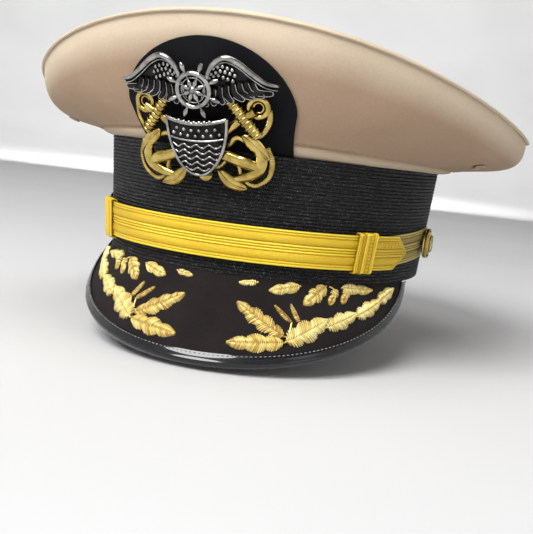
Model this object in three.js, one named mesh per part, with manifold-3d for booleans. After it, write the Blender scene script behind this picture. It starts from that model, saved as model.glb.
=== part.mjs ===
// A service peaked cap: a stiff oval frame with a ribbed band, a steep visor and a chin strap, and
// over it a lift-off fabric cover stretched on a hoop, with a two-colour metal badge at the front.
//
// Millimetres. +Z is up, -Y is the front, +X is the wearer's left. The origin is the centre of the
// head opening, in the plane of the band's lower edge.
//
// Every ring-shaped piece is drawn as three half cuts: at the side, the front and the back. Each cut
// is a line of points (radius, height). The ring runs round the head from one cut to the next.

import * as THREE from 'three';
import { mergeVertices } from 'three/addons/utils/BufferGeometryUtils.js';
import Module from 'manifold-3d';

const wasm = await Module();
wasm.setup();

// ---- driving dimensions -------------------------------------------------------------------------

const gap = 0.3; // between pieces that lie on each other
const ringSteps = 54; // straight stretches in one turn round the head
const degree = Math.PI / 180;

const bandHeight = 58.5;
const bandFoot = { side: 86, front: 103, back: 103 }; // outside of the band at its lower edge
const bandTop = { side: 90.4, front: 111, back: 109 }; // and at its upper edge
const bandCloth = 1.6;

const shellCloth = 1.4; // stiff frame inside the band
const shellTop = 57;
const tuckFloor = 42; // above this height the frame is upright, so that the cover's hem can lift out
const tuck = { side: 84.6, front: 105, back: 103.4 }; // outside of the upright part of the frame

const sweatbandHeight = 38;
const sweatbandLeather = 1.2;
const sweatbandRoom = 0.9; // between the sweatband and the frame

const hemDepth = 8.5; // the cover's hem reaches this far down behind the band
const hemCloth = 0.8;
const coverFoot = bandHeight + gap; // lower edge of the cover's visible wall
const coverCloth = 1.2;
const topRest = 0.6; // height of the top panel's under side above the rim line
const rim = { side: 135, front: 131, back: 139 }; // widest line of the cover
const rimHeight = { side: 79.5, front: 118, back: 92 };
const crownCentre = 97; // height of the top panel's middle
const wallBow = { // how far out and up the wall's two control points stand, as shares of the wall
  side: { out: 0.8, low: 0.21, high: 0.21 },
  front: { out: 0.58, low: 0.3, high: 0.75 },
  back: { out: 0.8, low: 0.21, high: 0.21 },
};

const visorReach = 46; // length of the visor's slope on the centre line, binding included
const visorSlope = 60 * degree; // below level
const visorHalfTurn = 75.5 * degree; // where the visor's edge meets the band, from the centre line
const visorCloth = 0.9;
const visorBoard = 2;
const bindingWidth = 6;
const bindingCloth = 0.6;

const strapMiddle = 16.4; // height of the strap's centre line
const strapWidth = 17.6;
const strapThick = 1.4;
const strapRound = { side: 87.7, front: 106 }; // the line on the band that the strap runs round
const strapLean = 0.1; // outward lean per unit of height, as the band has
const strapTurn = 60 * degree; // where the strap's front arc meets its side arc
const sideRise = 3.8; // how much higher the strap's side pieces end, under the buttons

const keeperTurn = 54 * degree; // middle of a keeper, on the front arc
const keeperWidth = 12.4;
const keeperPlate = { inner: 0.6, outer: 0.8 };
const tabLength = 28.6; // the strap's end behind the keeper, over the side piece
const tabPoint = 11; // the pointed part of it
const buttonTurn = 86 * degree;
const buttonRadius = 8.25;
const buttonPost = 1.2;

const badgeTurn = -3 * degree; // the badge sits a little to the wearer's right
const badgeTilt = 2.5 * degree; // and leans a little
const badgeLean = 20 * degree; // it stands along the cover's front wall
const badgeCurve = 130; // its own radius, so that it follows the front of the cap
const postHeight = 47;
const postRadius = 1.5;
const mountWidth = 82; // the black felt mount behind the badge
const mountTop = 107.6;
const mountFelt = 1.1;

const rows = ['side', 'front', 'back'];

// ---- solids and shapes --------------------------------------------------------------------------

// Turns a geometry's faces outwards, whichever way its outline was drawn.
function facingOut(geometry) {
  const solid = geometry.index ? geometry.toNonIndexed() : geometry;
  const at = solid.attributes.position;
  const [a, b, c] = [new THREE.Vector3(), new THREE.Vector3(), new THREE.Vector3()];
  let volume = 0;
  for (let i = 0; i < at.count; i += 3) {
    a.fromBufferAttribute(at, i);
    b.fromBufferAttribute(at, i + 1);
    c.fromBufferAttribute(at, i + 2);
    volume += a.dot(b.cross(c));
  }
  if (volume > 0) return solid;
  for (let i = 0; i < at.count; i += 3) {
    b.fromBufferAttribute(at, i + 1);
    c.fromBufferAttribute(at, i + 2);
    at.setXYZ(i + 1, c.x, c.y, c.z);
    at.setXYZ(i + 2, b.x, b.y, b.z);
  }
  return solid;
}

// Moves every vertex of a geometry to where the given function sends it.
function bend(geometry, place) {
  const at = geometry.attributes.position;
  const v = new THREE.Vector3();
  for (let i = 0; i < at.count; i += 1) {
    v.fromBufferAttribute(at, i);
    const moved = place(v.x, v.y, v.z);
    at.setXYZ(i, moved.x, moved.y, moved.z);
  }
  return facingOut(geometry);
}

// A closed outline drawn out in straight steps, then bent: place(x, y, share of the way along).
function sweep(points, steps, place, hole) {
  const shape = new THREE.Shape(points);
  if (hole) shape.holes.push(new THREE.Path(hole));
  return bend(new THREE.ExtrudeGeometry(shape, { depth: 1, steps, bevelEnabled: false }), place);
}

function rectangle(x0, y0, x1, y1) {
  return [[x0, y0], [x1, y0], [x1, y1], [x0, y1]].map(([x, y]) => new THREE.Vector2(x, y));
}

function manifoldOf(geometry) {
  const bare = facingOut(geometry.clone());
  bare.deleteAttribute('normal');
  bare.deleteAttribute('uv');
  const merged = mergeVertices(bare, 1e-3);
  return new wasm.Manifold(new wasm.Mesh({
    numProp: 3,
    vertProperties: merged.attributes.position.array,
    triVerts: new Uint32Array(merged.index.array),
  }));
}

function geometryOf(solid) {
  const mesh = solid.getMesh();
  const geometry = new THREE.BufferGeometry();
  geometry.setAttribute('position', new THREE.BufferAttribute(mesh.vertProperties, 3));
  geometry.setIndex(new THREE.BufferAttribute(mesh.triVerts, 1));
  return geometry;
}

const joined = (pieces) => geometryOf(pieces.map(manifoldOf).reduce((a, b) => a.add(b)));
const drilled = (piece, drills) =>
  geometryOf(drills.map(manifoldOf).reduce((a, b) => a.subtract(b), manifoldOf(piece)));

// ---- going round the head -----------------------------------------------------------------------

// The point of a ring at an angle from the front, from its (radius, height) at the three cuts.
function onOval(cut, turn) {
  const end = Math.cos(turn) > 0 ? cut.front : cut.back;
  const share = Math.abs(Math.cos(turn)) ** 1.6;
  return new THREE.Vector3(
    cut.side.x * Math.sin(turn),
    -end.x * Math.cos(turn),
    cut.side.y + (end.y - cut.side.y) * share,
  );
}

// A closed ring: outline(row) gives the closed outline at each of the three cuts.
function ovalRing(outline) {
  const cuts = Object.fromEntries(rows.map((row) => [row, outline(row)]));
  const lathe = new THREE.LatheGeometry(cuts.side, ringSteps);
  const at = lathe.attributes.position;
  const count = cuts.side.length;
  for (let i = 0; i < at.count; i += 1) {
    const turn = (Math.floor(i / count) / ringSteps) * 2 * Math.PI;
    const [side, front, back] = rows.map((row) => cuts[row][i % count]);
    const p = onOval({ side, front, back }, turn);
    at.setXYZ(i, p.x, p.y, p.z);
  }
  return facingOut(lathe);
}

// A closed wall outline between an outer line, from bottom to top, and the line a thickness inside it.
function wallOf(outer, thickness) {
  const inner = outer.map((p, i) => {
    const before = outer[Math.max(i - 1, 0)];
    const after = outer[Math.min(i + 1, outer.length - 1)];
    const along = after.clone().sub(before).normalize();
    return new THREE.Vector2(p.x - along.y * thickness, p.y + along.x * thickness);
  });
  return [...outer, ...inner.reverse(), outer[0]];
}

const mix = (a, b, share) => a + (b - a) * share;
const bandOut = (row, z) => mix(bandFoot[row], bandTop[row], z / bandHeight);

// ---- the frame and its band ---------------------------------------------------------------------

function frameShell() {
  const foot = bandCloth + gap;
  return ovalRing((row) => wallOf([
    new THREE.Vector2(bandFoot[row] - foot, 0.5),
    new THREE.Vector2(tuck[row], tuckFloor),
    new THREE.Vector2(tuck[row], shellTop),
  ], shellCloth));
}

// The band is thicker below the hem, and leaves a slot for the hem and the badge mount above it.
function mohairBand() {
  const slot = { side: 3, front: 3.5, back: 2.6 };
  const slotFloor = bandHeight - hemDepth;
  return ovalRing((row) => [
    new THREE.Vector2(bandFoot[row], 0),
    new THREE.Vector2(bandTop[row], bandHeight),
    new THREE.Vector2(tuck[row] + slot[row], bandHeight),
    new THREE.Vector2(tuck[row] + slot[row], slotFloor),
    new THREE.Vector2(tuck[row] + 2, tuckFloor),
    new THREE.Vector2(bandFoot[row] - bandCloth, 0),
    new THREE.Vector2(bandFoot[row], 0),
  ]);
}

const sweatbandOut = (row) => bandFoot[row] - bandCloth - gap - shellCloth - sweatbandRoom;

function sweatband() {
  return ovalRing((row) => wallOf([
    new THREE.Vector2(sweatbandOut(row), 0),
    new THREE.Vector2(sweatbandOut(row), sweatbandHeight),
  ], sweatbandLeather));
}

// ---- the cover ----------------------------------------------------------------------------------

const hemOut = (row) => tuck[row] + gap + hemCloth;

// Outer line of the cover's wall at one cut, share 0 at the band and 1 at the rim.
function wallLine(row) {
  const bow = wallBow[row];
  const foot = new THREE.Vector2(hemOut(row), coverFoot);
  const top = new THREE.Vector2(rim[row], rimHeight[row]);
  const rise = top.y - foot.y;
  return new THREE.CubicBezierCurve(
    foot,
    new THREE.Vector2(mix(foot.x, top.x, bow.out), foot.y + rise * bow.low),
    new THREE.Vector2(top.x, foot.y + rise * bow.high),
    top,
  );
}
const wallLines = Object.fromEntries(rows.map((row) => [row, wallLine(row)]));

// A point on the cover's wall, a distance out from it.
function onWall(turn, share, out) {
  const near = 0.002;
  const point = (t, s) =>
    onOval(Object.fromEntries(rows.map((row) => [row, wallLines[row].getPoint(s)])), t);
  const around = point(turn + near, share).sub(point(turn - near, share));
  const up = point(turn, Math.min(share + near, 1)).sub(point(turn, Math.max(share - near, 0)));
  return point(turn, share).addScaledVector(around.cross(up).normalize(), out);
}

function coverSide() {
  return ovalRing((row) => wallOf(wallLines[row].getPoints(6), coverCloth));
}

function coverHem() {
  const top = coverFoot - gap;
  return ovalRing((row) => wallOf([
    new THREE.Vector2(hemOut(row), bandHeight - hemDepth + gap),
    new THREE.Vector2(hemOut(row), top),
  ], hemCloth));
}

// The top panel's line from a share of the way in to the middle: a shallow dome, raised by a lift.
function domeLine(row, from, lift, count) {
  const swell = 5;
  return Array.from({ length: count + 1 }, (_, i) => {
    const share = mix(from, 1, i / count);
    const flat = mix(rimHeight[row], crownCentre - swell, share);
    return new THREE.Vector2(rim[row] * (1 - share), flat + swell * (1 - (1 - share) ** 2) + lift);
  });
}

function disc(from, low, high, count) {
  return ovalRing((row) => [
    ...domeLine(row, from, high, count),
    ...domeLine(row, from, low, count).reverse(),
    domeLine(row, from, high, count)[0],
  ]);
}

// A round cord lying along the rim.
function rimCord(out, up, radius, sides) {
  return ovalRing((row) => Array.from({ length: sides + 1 }, (_, i) => {
    const angle = ((i % sides) / sides) * 2 * Math.PI;
    return new THREE.Vector2(
      rim[row] + out + radius * Math.cos(angle),
      rimHeight[row] + up + radius * Math.sin(angle),
    );
  }));
}

// The stay is one spring wire: two legs that stand in the frame's pocket, and a bar under the hoop.
function frontStay() {
  const legTurn = 10 * degree;
  const wire = 1;
  const leg = [];
  const upright = [[-4.2, 30], [-3.5, 42], [-3.2, 52], [-3.2, 60]]; // from the frame's face, height
  for (const [out, z] of upright) {
    const cut = Object.fromEntries(rows.map((row) => [row, new THREE.Vector2(tuck[row] + out, z)]));
    leg.push(onOval(cut, legTurn));
  }
  for (const share of [0.3, 0.45, 0.6, 0.74]) leg.push(onWall(legTurn, share, -4.2));
  const other = leg.map((p) => new THREE.Vector3(-p.x, p.y, p.z)).reverse();
  const path = new THREE.CatmullRomCurve3([...leg, onWall(0, 0.8, -4.2), ...other]);
  const section = new THREE.Shape().absarc(0, 0, wire, 0, 2 * Math.PI);
  return facingOut(new THREE.ExtrudeGeometry(section, {
    extrudePath: path, steps: 44, curveSegments: 3, bevelEnabled: false,
  }));
}

// A short tape across the inside of the frame that the stay's legs stand behind.
function stayPocket() {
  const halfTurn = 14 * degree;
  const tape = 0.5;
  const out = (row) => sweatbandOut(row) + gap;
  return sweep(rectangle(0, 29, tape, 37.5), 8, (x, y, share) => {
    const cut = Object.fromEntries(rows.map((row) => [row, new THREE.Vector2(out(row) + x, y)]));
    return onOval(cut, mix(-halfTurn, halfTurn, share));
  });
}

// A vent eyelet: a flanged tube through the cover's wall, and the hole that it sits in.
const eyeletTurn = 74.5 * degree;
const eyeletShare = 0.36;
const eyeletHole = 2.2;

function onWallFrame(sign) {
  const at = onWall(sign * eyeletTurn, eyeletShare, 0);
  const away = onWall(sign * eyeletTurn, eyeletShare, 1);
  return { at, away: away.sub(at).normalize() };
}

function eyelet(sign) {
  const barrel = eyeletHole - gap;
  const bore = 1.2;
  const flange = 3.2;
  const outline = [[bore, -1.6], [barrel, -1.6], [barrel, gap], [flange, gap], [flange, 0.8], [bore, 1]];
  return ontoAxis(latheOf(outline, 12), onWallFrame(sign));
}

// ---- turned pieces ------------------------------------------------------------------------------

// A turned piece from its closed outline of [radius, distance along the axis].
function latheOf(outline, sides) {
  const points = outline.map(([r, along]) => new THREE.Vector2(r, along));
  if (outline[0][0] > 0) points.push(points[0].clone());
  return facingOut(new THREE.LatheGeometry(points, sides));
}

// Stands a turned piece on a point, with its axis along a direction.
function ontoAxis(geometry, { at, away }) {
  const spin = new THREE.Quaternion().setFromUnitVectors(new THREE.Vector3(0, 1, 0), away);
  return geometry.clone().applyQuaternion(spin).translate(at.x, at.y, at.z);
}

// ---- the visor ----------------------------------------------------------------------------------

// Length of the visor's slope at an angle from the centre line.
const reach = (turn) => visorReach * Math.max(0, 1 - (turn / visorHalfTurn) ** 2) ** 0.84;

// A point of the visor: along the slope from the band's lower edge, and under the cloth's face.
function onVisor(turn, along, under) {
  const edge = new THREE.Vector2(bandFoot.side * Math.sin(turn), -bandFoot.front * Math.cos(turn));
  const out = new THREE.Vector2(Math.sin(turn) / bandFoot.side, -Math.cos(turn) / bandFoot.front);
  out.normalize();
  const away = along * Math.cos(visorSlope) - under * Math.sin(visorSlope);
  const z = -along * Math.sin(visorSlope) - under * Math.cos(visorSlope);
  return new THREE.Vector3(edge.x + out.x * away, edge.y + out.y * away, z);
}

// Where a layer of the visor starts, level with the band's lower edge but for the gap.
const visorStart = (under) => (gap - under * Math.cos(visorSlope)) / Math.sin(visorSlope);
const visorEnd = 70.8 * degree; // the layers stop just short of where the edge meets the band
const bindingEdge = 1.3; // the binding reaches this far past the board

function visorLayer(top, thickness) {
  return sweep(rectangle(0, top, 1, top + thickness), 36, (x, under, share) => {
    const turn = mix(-visorEnd, visorEnd, share);
    return onVisor(turn, mix(visorStart(under), reach(turn) - bindingEdge, x), under);
  });
}

// A folded strip round the visor's edge, on both faces.
function visorBinding() {
  const low = visorCloth + gap + visorBoard + gap;
  const inner = { top: -gap, back: 1 - gap };
  const outline = [
    [inner.top - bindingCloth, -bindingWidth], [inner.top - bindingCloth, 0],
    [low + bindingCloth, 0], [low + bindingCloth, -bindingWidth],
    [low, -bindingWidth], [low, -inner.back - gap], [inner.top, -inner.back - gap],
    [inner.top, -bindingWidth],
  ].map(([under, along]) => new THREE.Vector2(under, along));
  return sweep(outline, 36, (under, along, share) => {
    const turn = mix(-visorEnd, visorEnd, share);
    return onVisor(turn, reach(turn) + along, under);
  });
}

// The ground of one leaf spray, lying on the visor's cloth from near the centre to the side.
function embroidery(sign) {
  const from = 3.5 * degree;
  const to = 62 * degree;
  return sweep(rectangle(0, -gap - 1, 1, -gap), 16, (x, under, share) => {
    const turn = sign * mix(from, to, share);
    const top = 1.5;
    return onVisor(turn, mix(top, reach(turn) - bindingWidth - 1, x), under);
  });
}

// ---- the chin strap -----------------------------------------------------------------------------

// The strap runs round four arcs, front and back alike, so that the keepers can slide on it.
const arcStep = (strapRound.front - strapRound.side) / (Math.sin(strapTurn) + Math.cos(strapTurn) - 1);
const frontArc = {
  radius: strapRound.front - arcStep * Math.cos(strapTurn),
  y: -arcStep * Math.cos(strapTurn),
};
const sideArc = {
  radius: strapRound.side + arcStep * Math.sin(strapTurn),
  x: -arcStep * Math.sin(strapTurn),
};

// A point by the strap: its angle of facing from the front, its distance out and its height.
function onStrap(turn, out, z) {
  const lean = out + strapLean * (z - strapMiddle);
  const sign = Math.sign(turn) || 1;
  const face = Math.abs(turn);
  if (face <= strapTurn) {
    const r = frontArc.radius + lean;
    return new THREE.Vector3(sign * r * Math.sin(face), frontArc.y - r * Math.cos(face), z);
  }
  const r = sideArc.radius + lean;
  return new THREE.Vector3(sign * (sideArc.x + r * Math.sin(face)), -r * Math.cos(face), z);
}

const strapIn = keeperPlate.inner + gap;
const strapOut = strapIn + strapThick;
const tabEnd = strapTurn + tabLength / (sideArc.radius + strapOut);

function strapFront() {
  const blunt = 0.16; // the point's end, as a share of the width
  const taper = tabEnd - tabPoint / (sideArc.radius + strapOut);
  return sweep(rectangle(-1, strapIn, 1, strapOut), 52, (x, out, share) => {
    const turn = mix(-tabEnd, tabEnd, share);
    const narrow = Math.max(0, Math.abs(turn) - taper) / (tabEnd - taper);
    const half = (strapWidth / 2) * mix(1, blunt, narrow);
    return onStrap(turn, out, strapMiddle + x * half);
  });
}

const sideStrapFrom = strapTurn + 1.6 * degree;
const sideStrapTo = buttonTurn + 2.6 * degree;

function strapSide(sign) {
  const narrower = 0.92;
  const half = (strapWidth / 2) * narrower;
  const strip = sweep(rectangle(-half, 0, half, keeperPlate.inner), 10, (x, out, share) => {
    const turn = mix(sideStrapFrom, sideStrapTo, share);
    const rise = (sideRise * (turn - strapTurn)) / (buttonTurn - strapTurn);
    return onStrap(sign * turn, out, strapMiddle + rise + x);
  });
  return drilled(strip, [buttonDrill(sign)]);
}

// A flat loop round the strap that slides along it.
function keeper(sign) {
  const halfTurn = keeperWidth / 2 / (frontArc.radius + strapOut);
  const outside = strapOut + gap + keeperPlate.outer;
  const halfIn = strapWidth / 2 + gap;
  const halfOut = halfIn + 0.9;
  return sweep(
    rectangle(-halfOut, 0, halfOut, outside),
    4,
    (x, out, share) => onStrap(sign * (keeperTurn + halfTurn * mix(-1, 1, share)), out, strapMiddle + x),
    rectangle(-halfIn, keeperPlate.inner, halfIn, strapOut + gap),
  );
}

// ---- side buttons -------------------------------------------------------------------------------

function buttonAxis(sign) {
  const at = onStrap(sign * buttonTurn, 0, strapMiddle + sideRise);
  const away = new THREE.Vector3(sign * Math.sin(buttonTurn), -Math.cos(buttonTurn), 0);
  return { at, away };
}

const clipDepth = 5.15 + strapLean * sideRise; // how far in from the strap the retaining clip lies

function sideButton(sign) {
  const seat = keeperPlate.inner + gap + strapLean * buttonRadius;
  const outline = [
    [0, -clipDepth - 0.35], [buttonPost, -clipDepth - 0.35], [buttonPost, seat],
    [buttonRadius * 0.9, seat], [buttonRadius, seat + 0.7], [buttonRadius * 0.97, seat + 1.5],
    [buttonRadius * 0.8, seat + 2.9], [buttonRadius * 0.45, seat + 3.9], [0, seat + 4.3],
  ];
  return ontoAxis(latheOf(outline, 20), buttonAxis(sign));
}

function buttonDrill(sign) {
  const bore = buttonPost + gap;
  return ontoAxis(latheOf([[0, -8], [bore, -8], [bore, 4], [0, 4]], 16), buttonAxis(sign));
}

// A flat spring washer that grips the button's post inside the frame.
function buttonClip(sign) {
  const bore = buttonPost + 0.15;
  const outline = [[bore, -clipDepth - 0.4], [4, -clipDepth - 0.4], [4, -clipDepth], [bore, -clipDepth]];
  return ontoAxis(latheOf(outline, 16), buttonAxis(sign));
}

// ---- the badge ----------------------------------------------------------------------------------

// The felt mount: a rounded tongue against the cover's front wall, tucked behind the band's edge.
function badgeMount() {
  const middle = 80; // height of the widest line
  const footHalf = 35;
  const foot = 42.6;
  const rise = Math.asin((middle - bandHeight) / (mountTop - middle));
  const halfAt = (z) => {
    if (z >= middle) return (mountWidth / 2) * Math.sqrt(Math.max(0, 1 - ((z - middle) / (mountTop - middle)) ** 2));
    const share = Math.min(1, (middle - z) / (middle - bandHeight));
    return mix(mountWidth / 2, footHalf, Math.sin(share * rise));
  };
  const along = 12;
  const across = 10;
  const box = new THREE.BoxGeometry(2, 1, 1, across, along, 1);
  const mount = bend(box, (x, y, z) => {
    const share = y + 0.5;
    const out = z + 0.5;
    const inWall = 0.25; // this share of the mount's rows lies behind the band
    if (share < inWall) {
      const height = mix(foot, bandHeight - 1.5, share / inWall);
      const sunk = Math.max(0, bandHeight - hemDepth - height) * 0.12;
      const cut = Object.fromEntries(rows.map((row) =>
        [row, new THREE.Vector2(hemOut(row) + gap - sunk + out * mountFelt, height)]));
      return onOval(cut, badgeTurn + Math.asin((x * footHalf) / tuck.side));
    }
    const upShare = Math.sin(((share - inWall) / (1 - inWall)) * 90 * degree);
    const height = mix(bandHeight + 0.9, mountTop - 0.4, upShare);
    const wallShare = shareAtHeight(height);
    const half = halfAt(height);
    const radius = wallLines.side.getPoint(wallShare).x;
    return onWall(badgeTurn + Math.asin((x * half) / radius), wallShare, 0.5 + out * mountFelt);
  });
  return drilled(mount, [postDrill()]);
}

// The share of the way up the front wall at which it passes a height.
function shareAtHeight(height) {
  let [low, high] = [0, 1];
  for (let i = 0; i < 30; i += 1) {
    const half = (low + high) / 2;
    if (wallLines.front.getPoint(half).y < height) low = half;
    else high = half;
  }
  return low;
}

// The badge's own plane: x across, y up along the front from the post, z out.
function badgePlace(geometry) {
  const out = bandOut('front', postHeight) + 2;
  const curved = bend(geometry, (x, y, z) => new THREE.Vector3(x, y, z - x ** 2 / (2 * badgeCurve)));
  return curved
    .rotateZ(badgeTilt)
    .rotateX(90 * degree + badgeLean)
    .translate(0, -out, postHeight)
    .rotateZ(badgeTurn);
}

function plate(shape, from, to) {
  const geometry = new THREE.ExtrudeGeometry(shape, { depth: to - from, bevelEnabled: false, curveSegments: 6 });
  return geometry.translate(0, 0, from);
}

const badgeLayer = { back: 1, top: 3.5, silverBack: 4.4, silverTop: 7 };

// One anchor lies slantwise from its ring, high on one side, to its crown, low on the other.
function anchor(sign) {
  const length = 54;
  const shank = new THREE.Shape(rectangle(-2, 0, 2, length / 2));
  const shankLower = new THREE.Shape(rectangle(-2, -length / 2, 2, 0));
  const stock = new THREE.Shape(rectangle(-10, length / 2 - 11, 10, length / 2 - 7));
  const ring = new THREE.Shape().absarc(0, length / 2 + 1, 5.5, 0, 2 * Math.PI);
  ring.holes.push(new THREE.Path().absarc(0, length / 2 + 1, 2.6, 0, 2 * Math.PI));
  const arms = new THREE.Shape();
  arms.moveTo(-14, -length / 2 + 12);
  arms.quadraticCurveTo(-10, -length / 2 - 1, 0, -length / 2 - 2.5);
  arms.quadraticCurveTo(10, -length / 2 - 1, 14, -length / 2 + 12);
  arms.quadraticCurveTo(9, -length / 2 + 4, 0, -length / 2 + 3);
  arms.quadraticCurveTo(-9, -length / 2 + 4, -14, -length / 2 + 12);
  const shapes = [shank, shankLower, stock, ring, arms];
  const slant = sign * 52 * degree;
  return shapes.map((shape) =>
    plate(shape, badgeLayer.back, badgeLayer.top).rotateZ(slant).translate(-sign * 5.5, 16, 0));
}

function badgeAnchors() {
  return badgePlace(joined([...anchor(1), ...anchor(-1)]));
}

function badgeShield() {
  const half = 14.5;
  const top = 28.5;
  const tip = 1.4;
  const shape = new THREE.Shape();
  shape.moveTo(-half, top);
  shape.quadraticCurveTo(0, top - 2, half, top);
  shape.bezierCurveTo(half, 14, 9, 6, 0, tip);
  shape.bezierCurveTo(-9, 6, -half, 14, -half, top);
  return badgePlace(plate(shape, badgeLayer.silverBack, badgeLayer.silverTop));
}

// A pair of spread wings held by a spoked ring.
function badgeWings() {
  const wing = (sign) => {
    const shape = new THREE.Shape();
    shape.moveTo(sign * 5, 36);
    shape.quadraticCurveTo(sign * 8, 54, sign * 16, 55);
    shape.quadraticCurveTo(sign * 26, 53, sign * 37.5, 43);
    shape.quadraticCurveTo(sign * 33, 37.5, sign * 26, 37);
    shape.quadraticCurveTo(sign * 16, 33, sign * 5, 32.5);
    return plate(shape, badgeLayer.silverBack, badgeLayer.silverTop - 0.6);
  };
  const ring = new THREE.Shape().absarc(0, 41, 8.6, 0, 2 * Math.PI);
  return badgePlace(joined([wing(1), wing(-1), plate(ring, badgeLayer.silverBack, badgeLayer.silverTop + 0.6)]));
}

function postAxis() {
  const out = bandOut('front', postHeight) + gap;
  const away = new THREE.Vector3(Math.sin(badgeTurn), -Math.cos(badgeTurn), 0);
  return { at: away.clone().multiplyScalar(out).setZ(postHeight), away };
}

function badgePost() {
  const flange = { radius: 3.6, back: 0.5, front: 1.3 };
  const length = 11.5;
  const outline = [
    [0, -length], [postRadius, -length], [postRadius, flange.back], [flange.radius, flange.back],
    [flange.radius, flange.front], [0, flange.front],
  ];
  return ontoAxis(latheOf(outline, 16), postAxis());
}

function postDrill() {
  const bore = postRadius + gap;
  return ontoAxis(latheOf([[0, -16], [bore, -16], [bore, 4], [0, 4]], 16), postAxis());
}

function badgeNut() {
  const bore = postRadius + 0.15;
  const face = -bandOut('front', postHeight) - gap + tuck.front - shellCloth - 0.6;
  const outline = [[bore, face - 3], [6, face - 3], [6, face - 0.6], [4.6, face], [bore, face]];
  return ontoAxis(latheOf(outline, 20), postAxis());
}

// ---- finishes -----------------------------------------------------------------------------------

const finish = (color, roughness, metalness) => new THREE.MeshStandardMaterial({ color, roughness, metalness });
const khaki = finish(0xc9b08d, 0.9, 0);
const blackBraid = finish(0x15151a, 0.7, 0);
const blackFelt = finish(0x141418, 0.95, 0);
const visorFelt = finish(0x241d1d, 0.9, 0);
const patent = finish(0x0c0c0e, 0.15, 0);
const leather = finish(0x3b2a20, 0.6, 0);
const cane = finish(0x9a8a68, 0.8, 0);
const goldLace = finish(0xe9bd2f, 0.35, 0.6);
const bullion = finish(0xd9b95a, 0.5, 0.5);
const gilt = finish(0xd8a63a, 0.25, 1);
const silver = finish(0xbfbfbf, 0.25, 1);
const steel = finish(0x8d8d90, 0.4, 1);
const lining = finish(0xcfc6b4, 0.7, 0);

// ---- the cap ------------------------------------------------------------------------------------

const cap = new THREE.Group();

function add(name, geometry, material) {
  const mesh = new THREE.Mesh(geometry, material);
  mesh.name = name;
  cap.add(mesh);
}

add('frame_shell', drilled(frameShell(), [buttonDrill(1), buttonDrill(-1), postDrill()]), cane);
add('mohair_band', drilled(mohairBand(), [buttonDrill(1), buttonDrill(-1), postDrill()]), blackBraid);
add('sweatband', sweatband(), leather);
add('stay_pocket', stayPocket(), blackFelt);

const eyeletDrills = [1, -1].map((sign) =>
  ontoAxis(latheOf([[0, -4], [eyeletHole, -4], [eyeletHole, 4], [0, 4]], 12), onWallFrame(sign)));
add('cover_side', drilled(coverSide(), eyeletDrills), khaki);
add('cover_top', disc(0.002, topRest, topRest + coverCloth, 3), khaki);
add('cover_hem', coverHem(), khaki);
add('cover_lining', disc(0.06, -0.9, -0.4, 2), lining);
add('rim_welt', rimCord(1.2, 0.1, 0.9, 6), khaki);
add('rim_hoop', rimCord(-3.4, -2.4, 1.5, 6), steel);
add('front_stay', frontStay(), steel);

add('visor_board', visorLayer(visorCloth + gap, visorBoard), patent);
add('visor_cloth', visorLayer(0, visorCloth), visorFelt);
add('visor_binding', visorBinding(), patent);

add('chin_strap_front', strapFront(), goldLace);

add('badge_mount', badgeMount(), blackFelt);
add('badge_anchors', badgeAnchors(), gilt);
add('badge_shield', badgeShield(), silver);
add('badge_wings', badgeWings(), silver);
add('badge_post', badgePost(), gilt);
add('badge_nut', badgeNut(), gilt);

for (const [side, sign] of [['left', 1], ['right', -1]]) {
  add(`embroidery_${side}`, embroidery(sign), bullion);
  add(`chin_strap_${side}`, strapSide(sign), goldLace);
  add(`keeper_${side}`, keeper(sign), goldLace);
  add(`side_button_${side}`, sideButton(sign), gilt);
  add(`button_clip_${side}`, buttonClip(sign), steel);
  add(`eyelet_${side}`, eyelet(sign), steel);
}

export default cap;
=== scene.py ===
"""The looks of a service peaked cap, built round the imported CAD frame.

The first part holds the cap's driving dimensions in millimetres, as the CAD has them, and the
functions that run round its oval, its visor, its strap and its badge. Then every material, every
piece, and the stage, the lights and the camera have a short function each.
"""

import math

import bmesh
import bpy
import numpy as np
from mathutils import Matrix, Vector


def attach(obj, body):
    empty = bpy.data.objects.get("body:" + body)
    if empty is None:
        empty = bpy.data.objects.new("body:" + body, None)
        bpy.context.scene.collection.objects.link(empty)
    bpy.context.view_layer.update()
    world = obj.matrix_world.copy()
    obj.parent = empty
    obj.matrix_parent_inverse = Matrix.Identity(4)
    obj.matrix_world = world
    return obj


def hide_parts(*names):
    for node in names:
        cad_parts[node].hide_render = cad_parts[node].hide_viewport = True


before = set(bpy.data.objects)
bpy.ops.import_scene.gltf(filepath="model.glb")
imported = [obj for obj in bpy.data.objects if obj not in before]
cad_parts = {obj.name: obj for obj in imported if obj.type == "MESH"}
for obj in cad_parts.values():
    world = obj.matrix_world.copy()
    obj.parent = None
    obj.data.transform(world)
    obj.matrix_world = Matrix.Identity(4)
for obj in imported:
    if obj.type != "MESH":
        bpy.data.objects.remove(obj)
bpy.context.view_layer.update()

MM = 0.001
TURN = 2 * math.pi
DEGREE = math.pi / 180
rng = np.random.default_rng(7)

# ---- driving dimensions, in mm; a row of three is the side, front and back cut -------------------

BAND_HEIGHT = 58.5
BAND_FOOT = np.array([86.0, 103.0, 103.0])
BAND_TOP = np.array([90.4, 111.0, 109.0])
BAND_CLOTH = 1.6
TUCK = np.array([84.6, 105.0, 103.4])
TUCK_FLOOR = 42.0
HEM_DEPTH = 8.5
HEM_OUT = TUCK + 1.1
COVER_FOOT = 58.8
COVER_CLOTH = 1.2
RIM = np.array([135.0, 131.0, 139.0])
RIM_HEIGHT = np.array([79.5, 118.0, 92.0])
WALL_OUT = np.array([0.8, 0.58, 0.8])
WALL_LOW = np.array([0.21, 0.30, 0.21])
WALL_HIGH = np.array([0.21, 0.75, 0.21])
CROWN_CENTRE = 97.0
CROWN_SWELL = 5.0

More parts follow.
